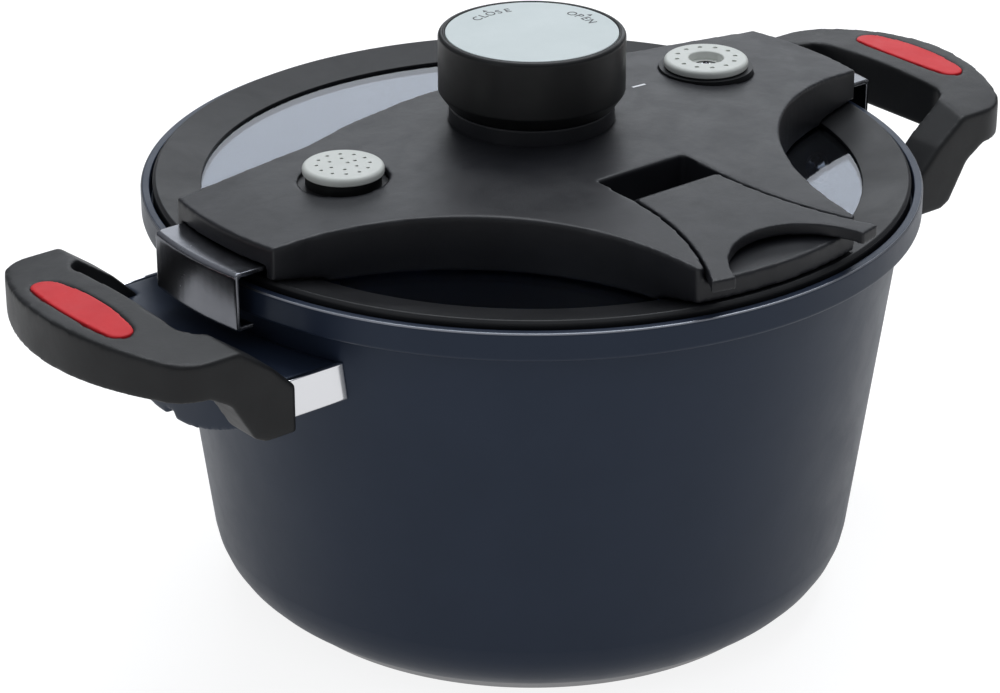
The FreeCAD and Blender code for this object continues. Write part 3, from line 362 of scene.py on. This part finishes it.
def finishMesh(name, shape, finish, sharp=sharpAngle):
    mesh = bpy.data.meshes.new(name)
    shape.to_mesh(mesh)
    shape.free()
    smooth(mesh, sharp)
    return addPiece(name, mesh, finish)


def cornered(points, closed):
    # (x, z, round) corners become a line with arcs, and a support point each side of an arc
    line = []
    count = len(points)
    steps = 8  # faces round each arc
    for index, (x, z, bend) in enumerate(points):
        here = Vector((x, z))
        if bend <= 0 or (not closed and index in (0, count - 1)):
            line.append(here)
            continue
        before = Vector(points[index - 1][:2])
        after = Vector(points[(index + 1) % count][:2])
        inward, outward = (before - here).normalized(), (after - here).normalized()
        half = inward.angle(outward) / 2
        reach = bend / math.tan(half)
        centre = here + (inward + outward).normalized() * (bend / math.sin(half))
        first, last = here + inward * reach, here + outward * reach
        spare = min((before - here).length - reach, (after - here).length - reach)
        support = min(0.3 * mm, 0.3 * spare)
        if support > 0:
            line.append(first + inward * support)
        start, sweep = first - centre, math.pi - 2 * half
        way = 1 if start.cross(last - centre) > 0 else -1
        for step in range(steps + 1):
            line.append(centre + Matrix.Rotation(way * sweep * step / steps, 2) @ start)
        if support > 0:
            line.append(last + outward * support)
    return line


def turned(name, points, finish, closed=True, segments=160, centre=(0, 0)):
    # a turned shape about Z from (radius, height, round) corners
    shape = bmesh.new()
    turns = [2 * math.pi * i / segments for i in range(segments)]
    rings = []
    for spot in cornered(points, closed):
        if spot.x < onAxis:
            rings.append([shape.verts.new((centre[0], centre[1], spot.y))])
            continue
        rings.append([shape.verts.new((centre[0] + spot.x * math.cos(turn),
                                       centre[1] + spot.x * math.sin(turn), spot.y)) for turn in turns])
    pairs = list(zip(rings, rings[1:]))
    if closed:
        pairs.append((rings[-1], rings[0]))
    for low, high in pairs:
        if len(low) == 1 and len(high) == 1:
            continue
        for i in range(segments):
            j = (i + 1) % segments
            around = [low[i % len(low)], low[j % len(low)], high[j % len(high)], high[i % len(high)]]
            shape.faces.new(list(dict.fromkeys(around)))
    bmesh.ops.recalc_face_normals(shape, faces=shape.faces[:])
    return finishMesh(name, shape, finish)


def applied(piece):
    # the evaluated result as a plain mesh on the same object
    graph = bpy.context.evaluated_depsgraph_get()
    graph.update()
    mesh = bpy.data.meshes.new_from_object(piece.evaluated_get(graph))
    piece.modifiers.clear()
    piece.data = mesh
    mesh.name = piece.name
    return piece


def softCopy(name, node, finish, voxel, passes, keep=1.0):
    # a merged copy of a CAD node, with its edges eased; keep is the share of faces left
    shape = bmesh.new()
    shape.from_mesh(cad[node].data)
    bmesh.ops.remove_doubles(shape, verts=shape.verts[:], dist=weld)
    piece = finishMesh(name, shape, finish, 180)
    remesh = piece.modifiers.new("even", "REMESH")
    remesh.mode = "VOXEL"
    remesh.voxel_size = voxel
    remesh.use_smooth_shade = True
    ease = piece.modifiers.new("ease", "SMOOTH")
    ease.factor = 0.5
    ease.iterations = passes
    if keep < 1:
        thin = piece.modifiers.new("thin", "DECIMATE")
        thin.ratio = keep
    applied(piece)
    piece.data.shade_smooth()
    piece.data.materials.clear()
    piece.data.materials.append(finish)
    print("eased", name, len(piece.data.polygons), "faces")
    return piece


potSizes = {"lip": 3.0 * mm, "seat": 7.0 * mm, "flangeDepth": 9.5 * mm, "wall": 3.5 * mm,
            "topRadius": 124.0 * mm, "footRadius": 107.1 * mm, "corner": 25.0 * mm,
            "floor": 5.0 * mm, "base": 1.2 * mm, "neckRound": 2.2 * mm, "flangeRound": 1.3 * mm,
            "rimRound": 0.9 * mm, "lipRound": 0.5 * mm, "seatRound": 0.4 * mm, "mouthRound": 0.6 * mm,
            "machined": 0.6 * mm, "segments": 224}


def makePot():
    size = potSizes
    lip, seat, under = flange - size["lip"], rim - size["seat"], rim - size["flangeDepth"]
    innerTop, innerFoot = size["topRadius"] - size["wall"], size["footRadius"] - size["wall"]
    floor = size["base"] + size["floor"]
    pot = turned("potShell", [
        (0, size["base"], 0), (size["footRadius"], size["base"], size["corner"]),
        (size["topRadius"], under, size["neckRound"]), (flange, under, size["flangeRound"]),
        (flange, rim, size["rimRound"]), (lip, rim, size["lipRound"]), (lip, seat, size["seatRound"]),
        (innerTop, seat, size["mouthRound"]), (innerFoot, floor, size["corner"] - size["wall"]),
        (0, floor, 0)], finishes["pot_coating"], closed=False, segments=size["segments"])
    # machined line where the top of the flange turns down
    pot.data.materials.append(finishes["machined"])
    for face in pot.data.polygons:
        out = math.hypot(face.center.x, face.center.y)
        if out > flange - size["machined"] and face.center.z > rim - size["machined"]:
            face.material_index = 1
    settle(pot, "pot", "pot_coating", "pot_body")


makePot()

discSizes = {"edge": 0.5 * mm, "groove": 0.35 * mm, "mouth": 0.6 * mm, "bed": 0.25 * mm,
             "grooveRound": 0.1 * mm, "segments": 200,
             "rings": (87.0, 78.0, 69.0, 60.0, 51.0, 42.0, 33.0, 24.0, 12.0)}


def makeBaseDisc():
    # steel disc under the pot, with turned grooves in its face; its steel is darker than the plate steel as
    # painted shade under the pot
    size = discSizes
    low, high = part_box("base_disc")
    bed = low.z + size["groove"]
    corners = [(0, high.z, 0), (high.x, high.z, softRound), (high.x, low.z, size["edge"])]
    for ring in size["rings"]:
        middle = ring * mm
        corners += [(middle + size["mouth"], low.z, size["grooveRound"]), (middle + size["bed"], bed, 0),
                    (middle - size["bed"], bed, 0), (middle - size["mouth"], low.z, size["grooveRound"])]
    disc = turned("baseDisc", corners + [(0, low.z, 0)], finishes["turnedSteel"], closed=False,
                  segments=size["segments"])
    settle(disc, "pot", "base_steel", "base_disc")


makeBaseDisc()
print("pot made")


# geometry node trees for what repeats
def newTree(name, sockets):
    tree = bpy.data.node_groups.new(name, "GeometryNodeTree")
    for label, kind, value in sockets:
        socket = tree.interface.new_socket(name=label, in_out="INPUT", socket_type=kind)
        if value is not None:
            socket.default_value = value
    tree.interface.new_socket(name="Geometry", in_out="OUTPUT", socket_type="NodeSocketGeometry")
    return tree, tree.nodes.new("NodeGroupInput"), tree.nodes.new("NodeGroupOutput")


def addNodes(piece, tree, values):
    # the tree as a modifier, each input set through its socket's identifier
    modifier = piece.modifiers.new(tree.name, "NODES")
    modifier.node_group = tree
    for item in tree.interface.items_tree:
        if item.in_out == "INPUT" and item.name in values:
            modifier[item.identifier] = values[item.name]


def buildAtPoints():
    # a copy of one piece on every point of the mesh
    tree, start, end = newTree("atPoints", [
        ("Geometry", "NodeSocketGeometry", None), ("Piece", "NodeSocketObject", None),
        ("Turn", "NodeSocketFloat", 0.0), ("Material", "NodeSocketMaterial", None)])
    source = tree.nodes.new("GeometryNodeObjectInfo")
    place = tree.nodes.new("GeometryNodeInstanceOnPoints")
    turn = tree.nodes.new("ShaderNodeCombineXYZ")
    real = tree.nodes.new("GeometryNodeRealizeInstances")
    coat = tree.nodes.new("GeometryNodeSetMaterial")
    link = tree.links.new
    link(start.outputs["Piece"], source.inputs["Object"])
    link(start.outputs["Geometry"], place.inputs["Points"])
    link(source.outputs["Geometry"], place.inputs["Instance"])
    link(start.outputs["Turn"], turn.inputs["Z"])
    link(turn.outputs[0], place.inputs["Rotation"])
    link(place.outputs["Instances"], real.inputs["Geometry"])
    link(real.outputs["Geometry"], coat.inputs["Geometry"])
    link(start.outputs["Material"], coat.inputs["Material"])
    link(coat.outputs["Geometry"], end.inputs["Geometry"])
    return tree


def buildDrilled():
    # a ring of upright holes cut out of the mesh
    tree, start, end = newTree("drilledRing", [
        ("Geometry", "NodeSocketGeometry", None), ("Count", "NodeSocketInt", 12),
        ("Circle", "NodeSocketFloat", 0.01), ("Hole", "NodeSocketFloat", 0.0006),
        ("Depth", "NodeSocketFloat", 0.004), ("Centre", "NodeSocketVector", None),
        ("Material", "NodeSocketMaterial", None)])
    circle = tree.nodes.new("GeometryNodeMeshCircle")
    shift = tree.nodes.new("GeometryNodeTransform")
    drill = tree.nodes.new("GeometryNodeMeshCylinder")
    drill.inputs["Vertices"].default_value = 20  # sides of each hole
    place = tree.nodes.new("GeometryNodeInstanceOnPoints")
    drills = tree.nodes.new("GeometryNodeRealizeInstances")
    carve = tree.nodes.new("GeometryNodeMeshBoolean")
    carve.operation = "DIFFERENCE"
    real = tree.nodes.new("GeometryNodeRealizeInstances")
    coat = tree.nodes.new("GeometryNodeSetMaterial")
    link = tree.links.new
    link(start.outputs["Count"], circle.inputs["Vertices"])
    link(start.outputs["Circle"], circle.inputs["Radius"])
    link(circle.outputs["Mesh"], shift.inputs["Geometry"])
    link(start.outputs["Centre"], shift.inputs["Translation"])
    link(start.outputs["Hole"], drill.inputs["Radius"])
    link(start.outputs["Depth"], drill.inputs["Depth"])
    link(shift.outputs["Geometry"], place.inputs["Points"])
    link(drill.outputs["Mesh"], place.inputs["Instance"])
    link(place.outputs["Instances"], drills.inputs["Geometry"])
    link(start.outputs["Geometry"], carve.inputs["Mesh 1"])
    link(drills.outputs["Geometry"], carve.inputs["Mesh 2"])
    link(carve.outputs["Mesh"], real.inputs["Geometry"])
    link(real.outputs["Geometry"], coat.inputs["Geometry"])
    link(start.outputs["Material"], coat.inputs["Material"])
    link(coat.outputs["Geometry"], end.inputs["Geometry"])
    return tree


trees = {"atPoints": buildAtPoints(), "drilled": buildDrilled()}


def repeated(name, source, spots, turn, finish):
    # copies of the source piece at the spots, as one mesh
    shape = bmesh.new()
    for spot in spots:
        shape.verts.new(spot)
    piece = finishMesh(name, shape, finish)
    addNodes(piece, trees["atPoints"], {"Piece": source, "Turn": turn, "Material": finish})
    applied(piece)
    bpy.data.objects.remove(source)
    smooth(piece.data)
    return piece


handleSizes = {"grip": (0.8 * mm, 8), "bracket": (0.7 * mm, 4), "inlay": (0.45 * mm, 2),
               "plate": (0.3 * mm, 2)}  # voxel and smoothing passes


def makeHandles():
    for side in sides:
        for name, node, slot, kind in (
                ("handleGrip", "handle", "handle_phenolic", "grip"),
                ("handleBracket", "handle_bracket", "pot_coating", "bracket"),
                ("handleInlay", "handle_inlay", "red_inlay", "inlay"),
                ("plateFront", "ferrule_front", "bright_steel", "plate"),
                ("plateBack", "ferrule_back", "bright_steel", "plate")):
            piece = softCopy(f"{name}_{side}", f"{node}_{side}", finishes[slot], *handleSizes[kind])
            settle(piece, "pot", slot, f"{node}_{side}")


makeHandles()


def layFixings(name, side, line, segments, across, height):
    # a turned fixing laid along X, one at each side of the handle's middle
    steel = finishes["bright_steel"]
    source = turned(f"{name}Source", line, steel, closed=False, segments=segments)
    source.data.transform(Matrix.Rotation(math.pi / 2, 4, "Y"))
    turn = 0.0 if side == "right" else math.pi
    piece = repeated(f"{name}_{side}", source, [(0, across, height), (0, -across, height)], turn, steel)
    settle(piece, "pot", "bright_steel", f"handle_{name}_{side}")


rivetSizes = {"across": 18.0 * mm, "head": 6.0 * mm, "shank": 3.0 * mm, "crown": 0.55, "crownRise": 0.9 * mm,
              "crownRound": 1.2 * mm, "shoulder": 0.9, "shoulderRise": 3.2 * mm, "shoulderRound": 1.0 * mm,
              "edge": 5.4 * mm, "seat": 5.5 * mm, "endRound": 0.4 * mm, "segments": 40}


def makeRivets(side):
    size = rivetSizes
    low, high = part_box(f"handle_rivets_{side}")
    near, far = sorted((abs(low.x), abs(high.x)))
    head, shank = size["head"], size["shank"]
    line = [(0, near, 0), (head * size["crown"], near + size["crownRise"], size["crownRound"]),
            (head * size["shoulder"], near + size["shoulderRise"], size["shoulderRound"]),
            (head, near + size["edge"], softRound), (shank, near + size["seat"], 0),
            (shank, far, size["endRound"]), (0, far, 0)]
    layFixings("rivets", side, line, size["segments"], size["across"], (low.z + high.z) / 2)


screwSizes = {"head": 3.2 * mm, "shank": 1.8 * mm, "depth": 2.2 * mm, "socket": 0.7 * mm,
              "socketFoot": 1.1 * mm, "socketMouth": 1.6 * mm, "bevel": 0.2 * mm, "headRound": 0.6 * mm,
              "endRound": 0.4 * mm, "segments": 36}


def makeScrews(side):
    size = screwSizes
    low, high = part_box(f"handle_screws_{side}")
    near, far = sorted((abs(low.x), abs(high.x)))
    head, shank, under = size["head"], size["shank"], near + size["depth"]
    line = [(0, near + size["socket"], 0), (size["socketFoot"], near + size["socket"], 0),
            (size["socketMouth"], near, 0), (head, near + size["bevel"], size["headRound"]),
            (head, under, fineRound), (shank, under, 0), (shank, far, size["endRound"]), (0, far, 0)]
    layFixings("screws", side, line, size["segments"], high.y - head, (low.z + high.z) / 2)


for side in sides:
    makeRivets(side)
    makeScrews(side)
print("handles made")

sealSizes = {"inner": 110.0 * mm, "underInner": 112.5 * mm, "chamfer": 1.0 * mm, "lip": 0.9 * mm,
             "footRound": 0.5 * mm, "sideRound": 0.8 * mm, "topRound": 0.7 * mm, "segments": 224}


def makeSeal():
    size = sealSizes
    low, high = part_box("lid_seal")
    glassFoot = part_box("lid_glass")[0].z
    inner, underInner, chamfer = size["inner"], size["underInner"], size["chamfer"]
    ring = turned("lidSeal", [
        (underInner, low.z, softRound), (high.x, low.z, size["footRound"]),
        (high.x, high.z - chamfer, size["sideRound"]), (high.x - chamfer, high.z, size["topRound"]),
        (inner, glassTop + size["lip"], softRound), (inner, glassTop, 0), (glassRadius, glassTop, 0),
        (glassRadius, glassFoot, 0), (underInner, glassFoot, 0)],
        finishes["seal_silicone"], segments=size["segments"])
    settle(ring, "lid", "seal_silicone", "lid_seal")


makeSeal()

coverSizes = {"cover": (0.7 * mm, 3, 0.5), "stand": (0.5 * mm, 3)}  # voxel, smoothing passes, faces kept
settle(softCopy("coverShell", "lid_cover", finishes["cover_plastic"], *coverSizes["cover"]),
       "lid", "cover_plastic", "lid_cover")
settle(softCopy("flipStand", "stand", finishes["cover_plastic"], *coverSizes["stand"]),
       "stand", "cover_plastic", "stand")

indexSizes = {"from": 44.2 * mm, "to": 49.9 * mm, "half": 0.5 * mm, "dome": 1405.0 * mm,
              "collar": 27.5 * mm, "proud": 0.05 * mm, "sunk": 0.2 * mm, "steps": 8, "sharp": 20.0}


def makeIndex():
    # short painted line that follows the cover's dome
    size = indexSizes
    half, proud, sunk = size["half"], size["proud"], -size["sunk"]
    crown = domeTop + size["collar"] ** 2 / (2 * size["dome"])
    shape = bmesh.new()
    rows = []
    for step in range(size["steps"] + 1):
        x = size["from"] + (size["to"] - size["from"]) * step / size["steps"]
        top = crown - x ** 2 / (2 * size["dome"])
        rows.append([shape.verts.new((x, y, top + h))
                     for y, h in ((-half, sunk), (-half, proud), (half, proud), (half, sunk))])
    for first, second in zip(rows, rows[1:]):
        for i in range(4):
            j = (i + 1) % 4
            shape.faces.new([first[i], first[j], second[j], second[i]])
    shape.faces.new(rows[0])
    shape.faces.new(rows[-1])
    bmesh.ops.recalc_face_normals(shape, faces=shape.faces[:])
    settle(finishMesh("indexMark", shape, finishes["index"], size["sharp"]), "lid", "pale_plastic")


makeIndex()
print("cover and stand made")

knobSizes = {"wall": 2.7 * mm, "skirt": 29.5 * mm, "footRadius": 28.0 * mm, "disc": 28.6 * mm,
             "discDepth": 1.2 * mm, "discGap": 0.2 * mm, "hub": 9.0 * mm, "hubFoot": 0.7 * mm,
             "spindle": 5.0 * mm, "screw": 2.0 * mm, "well": 4.4 * mm, "wellDepth": 2.0 * mm,
             "roof": 3.0 * mm, "bore": 4.0 * mm, "skirtStep": 1.0 * mm, "seatRound": 0.1 * mm,
             "rimRound": 0.45 * mm, "topRound": 1.5 * mm, "skirtRound": 1.2 * mm, "footRound": 0.5 * mm,
             "hubRound": 0.6 * mm, "segments": 192}


def makeKnob():
    # a skirt open underneath, a hub on the spindle and a shallow seat for the disc
    size = knobSizes
    low, high = knobBox
    top, foot, outer = high.z, low.z, high.x
    under, skirt, inner = top - size["discDepth"], rim + size["skirt"], outer - size["wall"]
    well, roof, bore = under - size["wellDepth"], under - size["roof"], under - size["bore"]
    seat, hubFoot = size["disc"] + size["discGap"], foot + size["hubFoot"]
    knob = turned("knobBody", [
        (size["screw"], well, 0), (size["well"], well, 0), (size["well"], under, fineRound),
        (seat, under, size["seatRound"]), (seat, top, size["rimRound"]), (outer, top, size["topRound"]),
        (outer, skirt, size["skirtRound"]), (size["footRadius"], foot, size["footRound"]),
        (size["footRadius"] - size["wall"], foot, softRound),
        (inner, skirt + size["skirtStep"], size["footRound"]), (inner, roof, size["skirtRound"]),
        (size["hub"], roof, size["hubRound"]), (size["hub"], hubFoot, softRound),
        (size["spindle"], hubFoot, fineRound), (size["spindle"], bore, 0), (size["screw"], bore, 0)],
        finishes["knob_plastic"], segments=size["segments"])
    settle(knob, "knob", "knob_plastic", "knob_body")


def makeKnobDisc():
    size = knobSizes
    under = knobBox[1].z - size["discDepth"]
    disc = turned("knobDisc", [
        (0, under, 0), (size["disc"], under, fineRound), (size["disc"], legendTop, softRound),
        (0, legendTop, 0)], finishes["legend_plate"], closed=False, segments=size["segments"])
    settle(disc, "knob", "legend_plate", "knob_disc")


collarSizes = {"bore": 5.4 * mm, "topRound": 0.7 * mm}


def makeCollar():
    size = collarSizes
    low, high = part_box("knob_collar")
    collar = turned("knobCollar", [
        (size["bore"], low.z, fineRound), (high.x, low.z, softRound), (high.x, high.z, size["topRound"]),
        (size["bore"], high.z, softRound)], finishes["cover_plastic"])
    settle(collar, "lid", "cover_plastic", "knob_collar")


makeKnob()
makeKnobDisc()
makeCollar()
print("knob made")

capSizes = {"rim": 1.4 * mm, "foot": 0.5 * mm, "skirt": 12.3 * mm, "cup": 11.0 * mm, "face": 2.8 * mm,
            "roof": 1.8 * mm, "drop": 3.0 * mm, "well": 6.0 * mm, "wellRound": 0.5 * mm, "bore": 4.6 * mm,
            "vent": 0.62 * mm, "ventDepth": 6.0 * mm, "dimple": 0.85 * mm, "dimpleDepth": 1.0 * mm,
            "ventRings": ((3, 1.8 * mm), (6, 4.7 * mm), (12, 8.6 * mm)), "dimpleRings": ((12, 10.2 * mm),),
            "shade": 0.3 * mm, "segments": 120}


def makeCaps():
    # relief cap with vents through it, float cap with a well and a ring of dimples
    size = capSizes
    for name in ("relief", "float"):
        low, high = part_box(f"{name}_cap")
        centre = ((low.x + high.x) / 2, 0)
        outer, top = (high.x - low.x) / 2, high.z
        foot = top - size["face"]
        skirt = [(outer, top, size["rim"]), (outer, foot, size["foot"]), (size["skirt"], foot, fineRound),
                 (size["skirt"], low.z, softRound), (size["cup"], low.z, fineRound)]
        if name == "relief":
            roof = top - size["roof"]
            line = [(0, top, 0)] + skirt + [(size["cup"], roof, 0), (0, roof, 0)]
            rings, depth, hole = size["ventRings"], size["ventDepth"], size["vent"]
        else:
            floor = top - size["drop"]
            roof = floor - size["roof"]
            line = [(size["bore"], floor, fineRound), (size["well"], floor, fineRound),
                    (size["well"], top, size["wellRound"])]
            line += skirt + [(size["cup"], roof, 0), (size["bore"], roof, fineRound)]
            rings, depth, hole = size["dimpleRings"], size["dimpleDepth"], size["dimple"]
        cap = turned(f"{name}Cap", line, finishes["pale_plastic"], closed=name == "float",
                     segments=size["segments"], centre=centre)
        for count, circle in rings:
            addNodes(cap, trees["drilled"], {
                "Count": count, "Circle": circle, "Hole": hole, "Depth": depth,
                "Centre": (*centre, top), "Material": finishes["pale_plastic"]})
        applied(cap)
        smooth(cap.data)
        # level faces are flat, and the skirt hidden in the cover takes the dark knob plastic as painted shade
        # in the gap round the cap
        cap.data.materials.append(finishes["knob_plastic"])
        for face in cap.data.polygons:
            if abs(face.normal.z) > 0.9999:
                face.use_smooth = False
            if face.center.z < foot - size["shade"]:
                face.material_index = 1
        settle(cap, "lid", "pale_plastic", f"{name}_cap")


makeCaps()
print("caps made")

jawSizes = {"plate": (0.5 * mm, 2, 0.6)}  # voxel, smoothing passes, faces kept
for side in sides:
    settle(softCopy(f"jawPlate_{side}", f"jaw_{side}", finishes["jaw_steel"], *jawSizes["plate"]),
           f"jaw_{side}", "jaw_steel", f"jaw_{side}")
print("jaws made")

legendSizes = {"words": (("OPEN", 0.0), ("CLOSE", 90.0)), "letter": 4.6 * mm, "circle": 21.6 * mm,
               "pitch": 8.6, "arrow": 24.8 * mm, "tip": 1.1 * mm, "tail": 0.5 * mm, "half": 0.9 * mm,
               "lift": 0.03 * mm, "thick": 0.03 * mm}


def addLetter(shape, letter, angle, radius, size):
    # one letter, its top outward, at an angle round the knob
    curve = bpy.data.curves.new("letter", "FONT")
    curve.body = letter
    curve.size = size
    curve.extrude = legendSizes["thick"]
    curve.align_x = "CENTER"
    curve.align_y = "CENTER"
    holder = bpy.data.objects.new("letter", curve)
    scene.collection.objects.link(holder)
    graph = bpy.context.evaluated_depsgraph_get()
    mesh = bpy.data.meshes.new_from_object(holder.evaluated_get(graph))
    spot = Vector((radius * math.cos(angle), radius * math.sin(angle), legendTop + legendSizes["lift"]))
    mesh.transform(Matrix.Translation(spot) @ Matrix.Rotation(angle - math.pi / 2, 4, "Z"))
    shape.from_mesh(mesh)
    bpy.data.objects.remove(holder)


def makeLegend():
    # each word on an arc, with a small arrow head outside it
    size = legendSizes
    level, thick, half = legendTop + size["lift"], size["thick"], size["half"]
    tip, tail = size["arrow"] + size["tip"], size["arrow"] - size["tail"]
    shape = bmesh.new()
    for word, middle in size["words"]:
        for index, letter in enumerate(word):
            turn = middle - (index - (len(word) - 1) / 2) * size["pitch"]
            addLetter(shape, letter, math.radians(turn), size["circle"], size["letter"])
        along, across = math.cos(math.radians(middle)), math.sin(math.radians(middle))
        rings = [[shape.verts.new((r * along - t * across, r * across + t * along, level + h))
                  for r, t in ((tip, 0), (tail, half), (tail, -half))] for h in (-thick, thick)]
        shape.faces.new(rings[0])
        shape.faces.new(rings[1])
        for i in range(3):
            j = (i + 1) % 3
            shape.faces.new([rings[0][i], rings[0][j], rings[1][j], rings[1][i]])
    bmesh.ops.remove_doubles(shape, verts=shape.verts[:], dist=weld)
    bmesh.ops.recalc_face_normals(shape, faces=shape.faces[:])
    settle(finishMesh("knobLegend", shape, finishes["print"]), "knob", "legend_plate")


makeLegend()
print("legend made")

# the floor glows more for the camera than for the object
floorSizes = {"half": 6.0, "seen": 0.86, "cast": 0.50, "colour": (0.30, 0.30, 0.30, 1)}


def makeFloor():
    size = floorSizes
    half = size["half"]
    shape = bmesh.new()
    shape.faces.new([shape.verts.new(corner) for corner in
                     ((-half, -half, 0), (half, -half, 0), (half, half, 0), (-half, half, 0))])
    material, shader = newFinish("paleFloor", {
        "Base Color": size["colour"], "Roughness": 0.8, "Emission Color": (1, 1, 1, 1),
        "Emission Strength": size["seen"]})[:2]
    tree = material.node_tree
    path = tree.nodes.new("ShaderNodeLightPath")
    glow = tree.nodes.new("ShaderNodeMapRange")
    glow.inputs["To Min"].default_value = size["cast"]
    glow.inputs["To Max"].default_value = size["seen"]
    tree.links.new(path.outputs["Is Camera Ray"], glow.inputs["Value"])
    tree.links.new(glow.outputs["Result"], shader.inputs["Emission Strength"])
    finishMesh("studioFloor", shape, material)


skySizes = {"low": 0.10, "high": 0.85, "horizon": (0.096, 0.10, 0.112, 1), "overhead": (0.52, 0.545, 0.58, 1)}


def makeSky():
    # dark near the horizon, pale overhead
    world = bpy.data.worlds.new("studio")
    world.use_nodes = True
    tree = world.node_tree
    coords = tree.nodes.new("ShaderNodeTexCoord")
    split = tree.nodes.new("ShaderNodeSeparateXYZ")
    size = skySizes
    ramp = makeRamp(tree, size["low"], size["high"], size["horizon"], size["overhead"])
    tree.links.new(coords.outputs["Generated"], split.inputs[0])
    tree.links.new(split.outputs["Z"], ramp.inputs["Fac"])
    tree.links.new(ramp.outputs["Color"], tree.nodes["Background"].inputs["Color"])
    scene.world = world
    scene.view_settings.view_transform = "Standard"


lamps = {"overhead": {"spot": (0.45, 0.35, 1.5), "aim": (0, 0, 0.1), "size": (1.3, 0.9), "power": 12.5},
         "backdrop": {"spot": (1.40, 1.30, 0.85), "aim": (0, 0, 0.15), "size": (1.7, 0.75), "power": 5.8},
         "leftStrip": {"spot": (-1.5, -0.2, 0.6), "aim": (0, 0, 0.1), "size": (0.5, 1.2), "power": 0.9}}


def addLamp(name, spot, aim, size, power):
    light = bpy.data.lights.new(name, "AREA")
    light.shape = "RECTANGLE"
    light.size, light.size_y = size
    light.energy = power
    light.color = (0.92, 0.955, 1.0)
    lamp = bpy.data.objects.new(name, light)
    lamp.location = spot
    lamp.rotation_euler = (Vector(aim) - Vector(spot)).to_track_quat("-Z", "Y").to_euler()
    lamp.visible_camera = False
    scene.collection.objects.link(lamp)


cameraSizes = {"azimuth": -38.9, "elevation": 25.161, "distance": 1139.6 * mm, "lens": 122.9,
               "across": -10.5 * mm, "upward": -58.9 * mm, "sensor": 36.0, "clip": 20.0}


def makeCamera():
    size = cameraSizes
    turn, tilt = math.radians(size["azimuth"]), math.radians(size["elevation"])
    back = Vector((math.sin(turn) * math.cos(tilt), -math.cos(turn) * math.cos(tilt), math.sin(tilt)))
    right = Vector((math.cos(turn), math.sin(turn), 0))
    up = back.cross(right)
    data = bpy.data.cameras.new("view")
    data.sensor_width = size["sensor"]
    data.lens = size["lens"]
    data.clip_end = size["clip"]
    camera = bpy.data.objects.new("view", data)
    turnMatrix = Matrix((right, up, back)).transposed().to_4x4()
    spot = Vector((0, 0, rim)) + back * size["distance"] + right * size["across"] + up * size["upward"]
    camera.matrix_world = Matrix.Translation(spot) @ turnMatrix
    scene.collection.objects.link(camera)
    scene.camera = camera


makeFloor()
makeSky()
for name, lamp in lamps.items():
    addLamp(name, lamp["spot"], lamp["aim"], lamp["size"], lamp["power"])
makeCamera()
print("studio set")

bpy.context.view_layer.update()
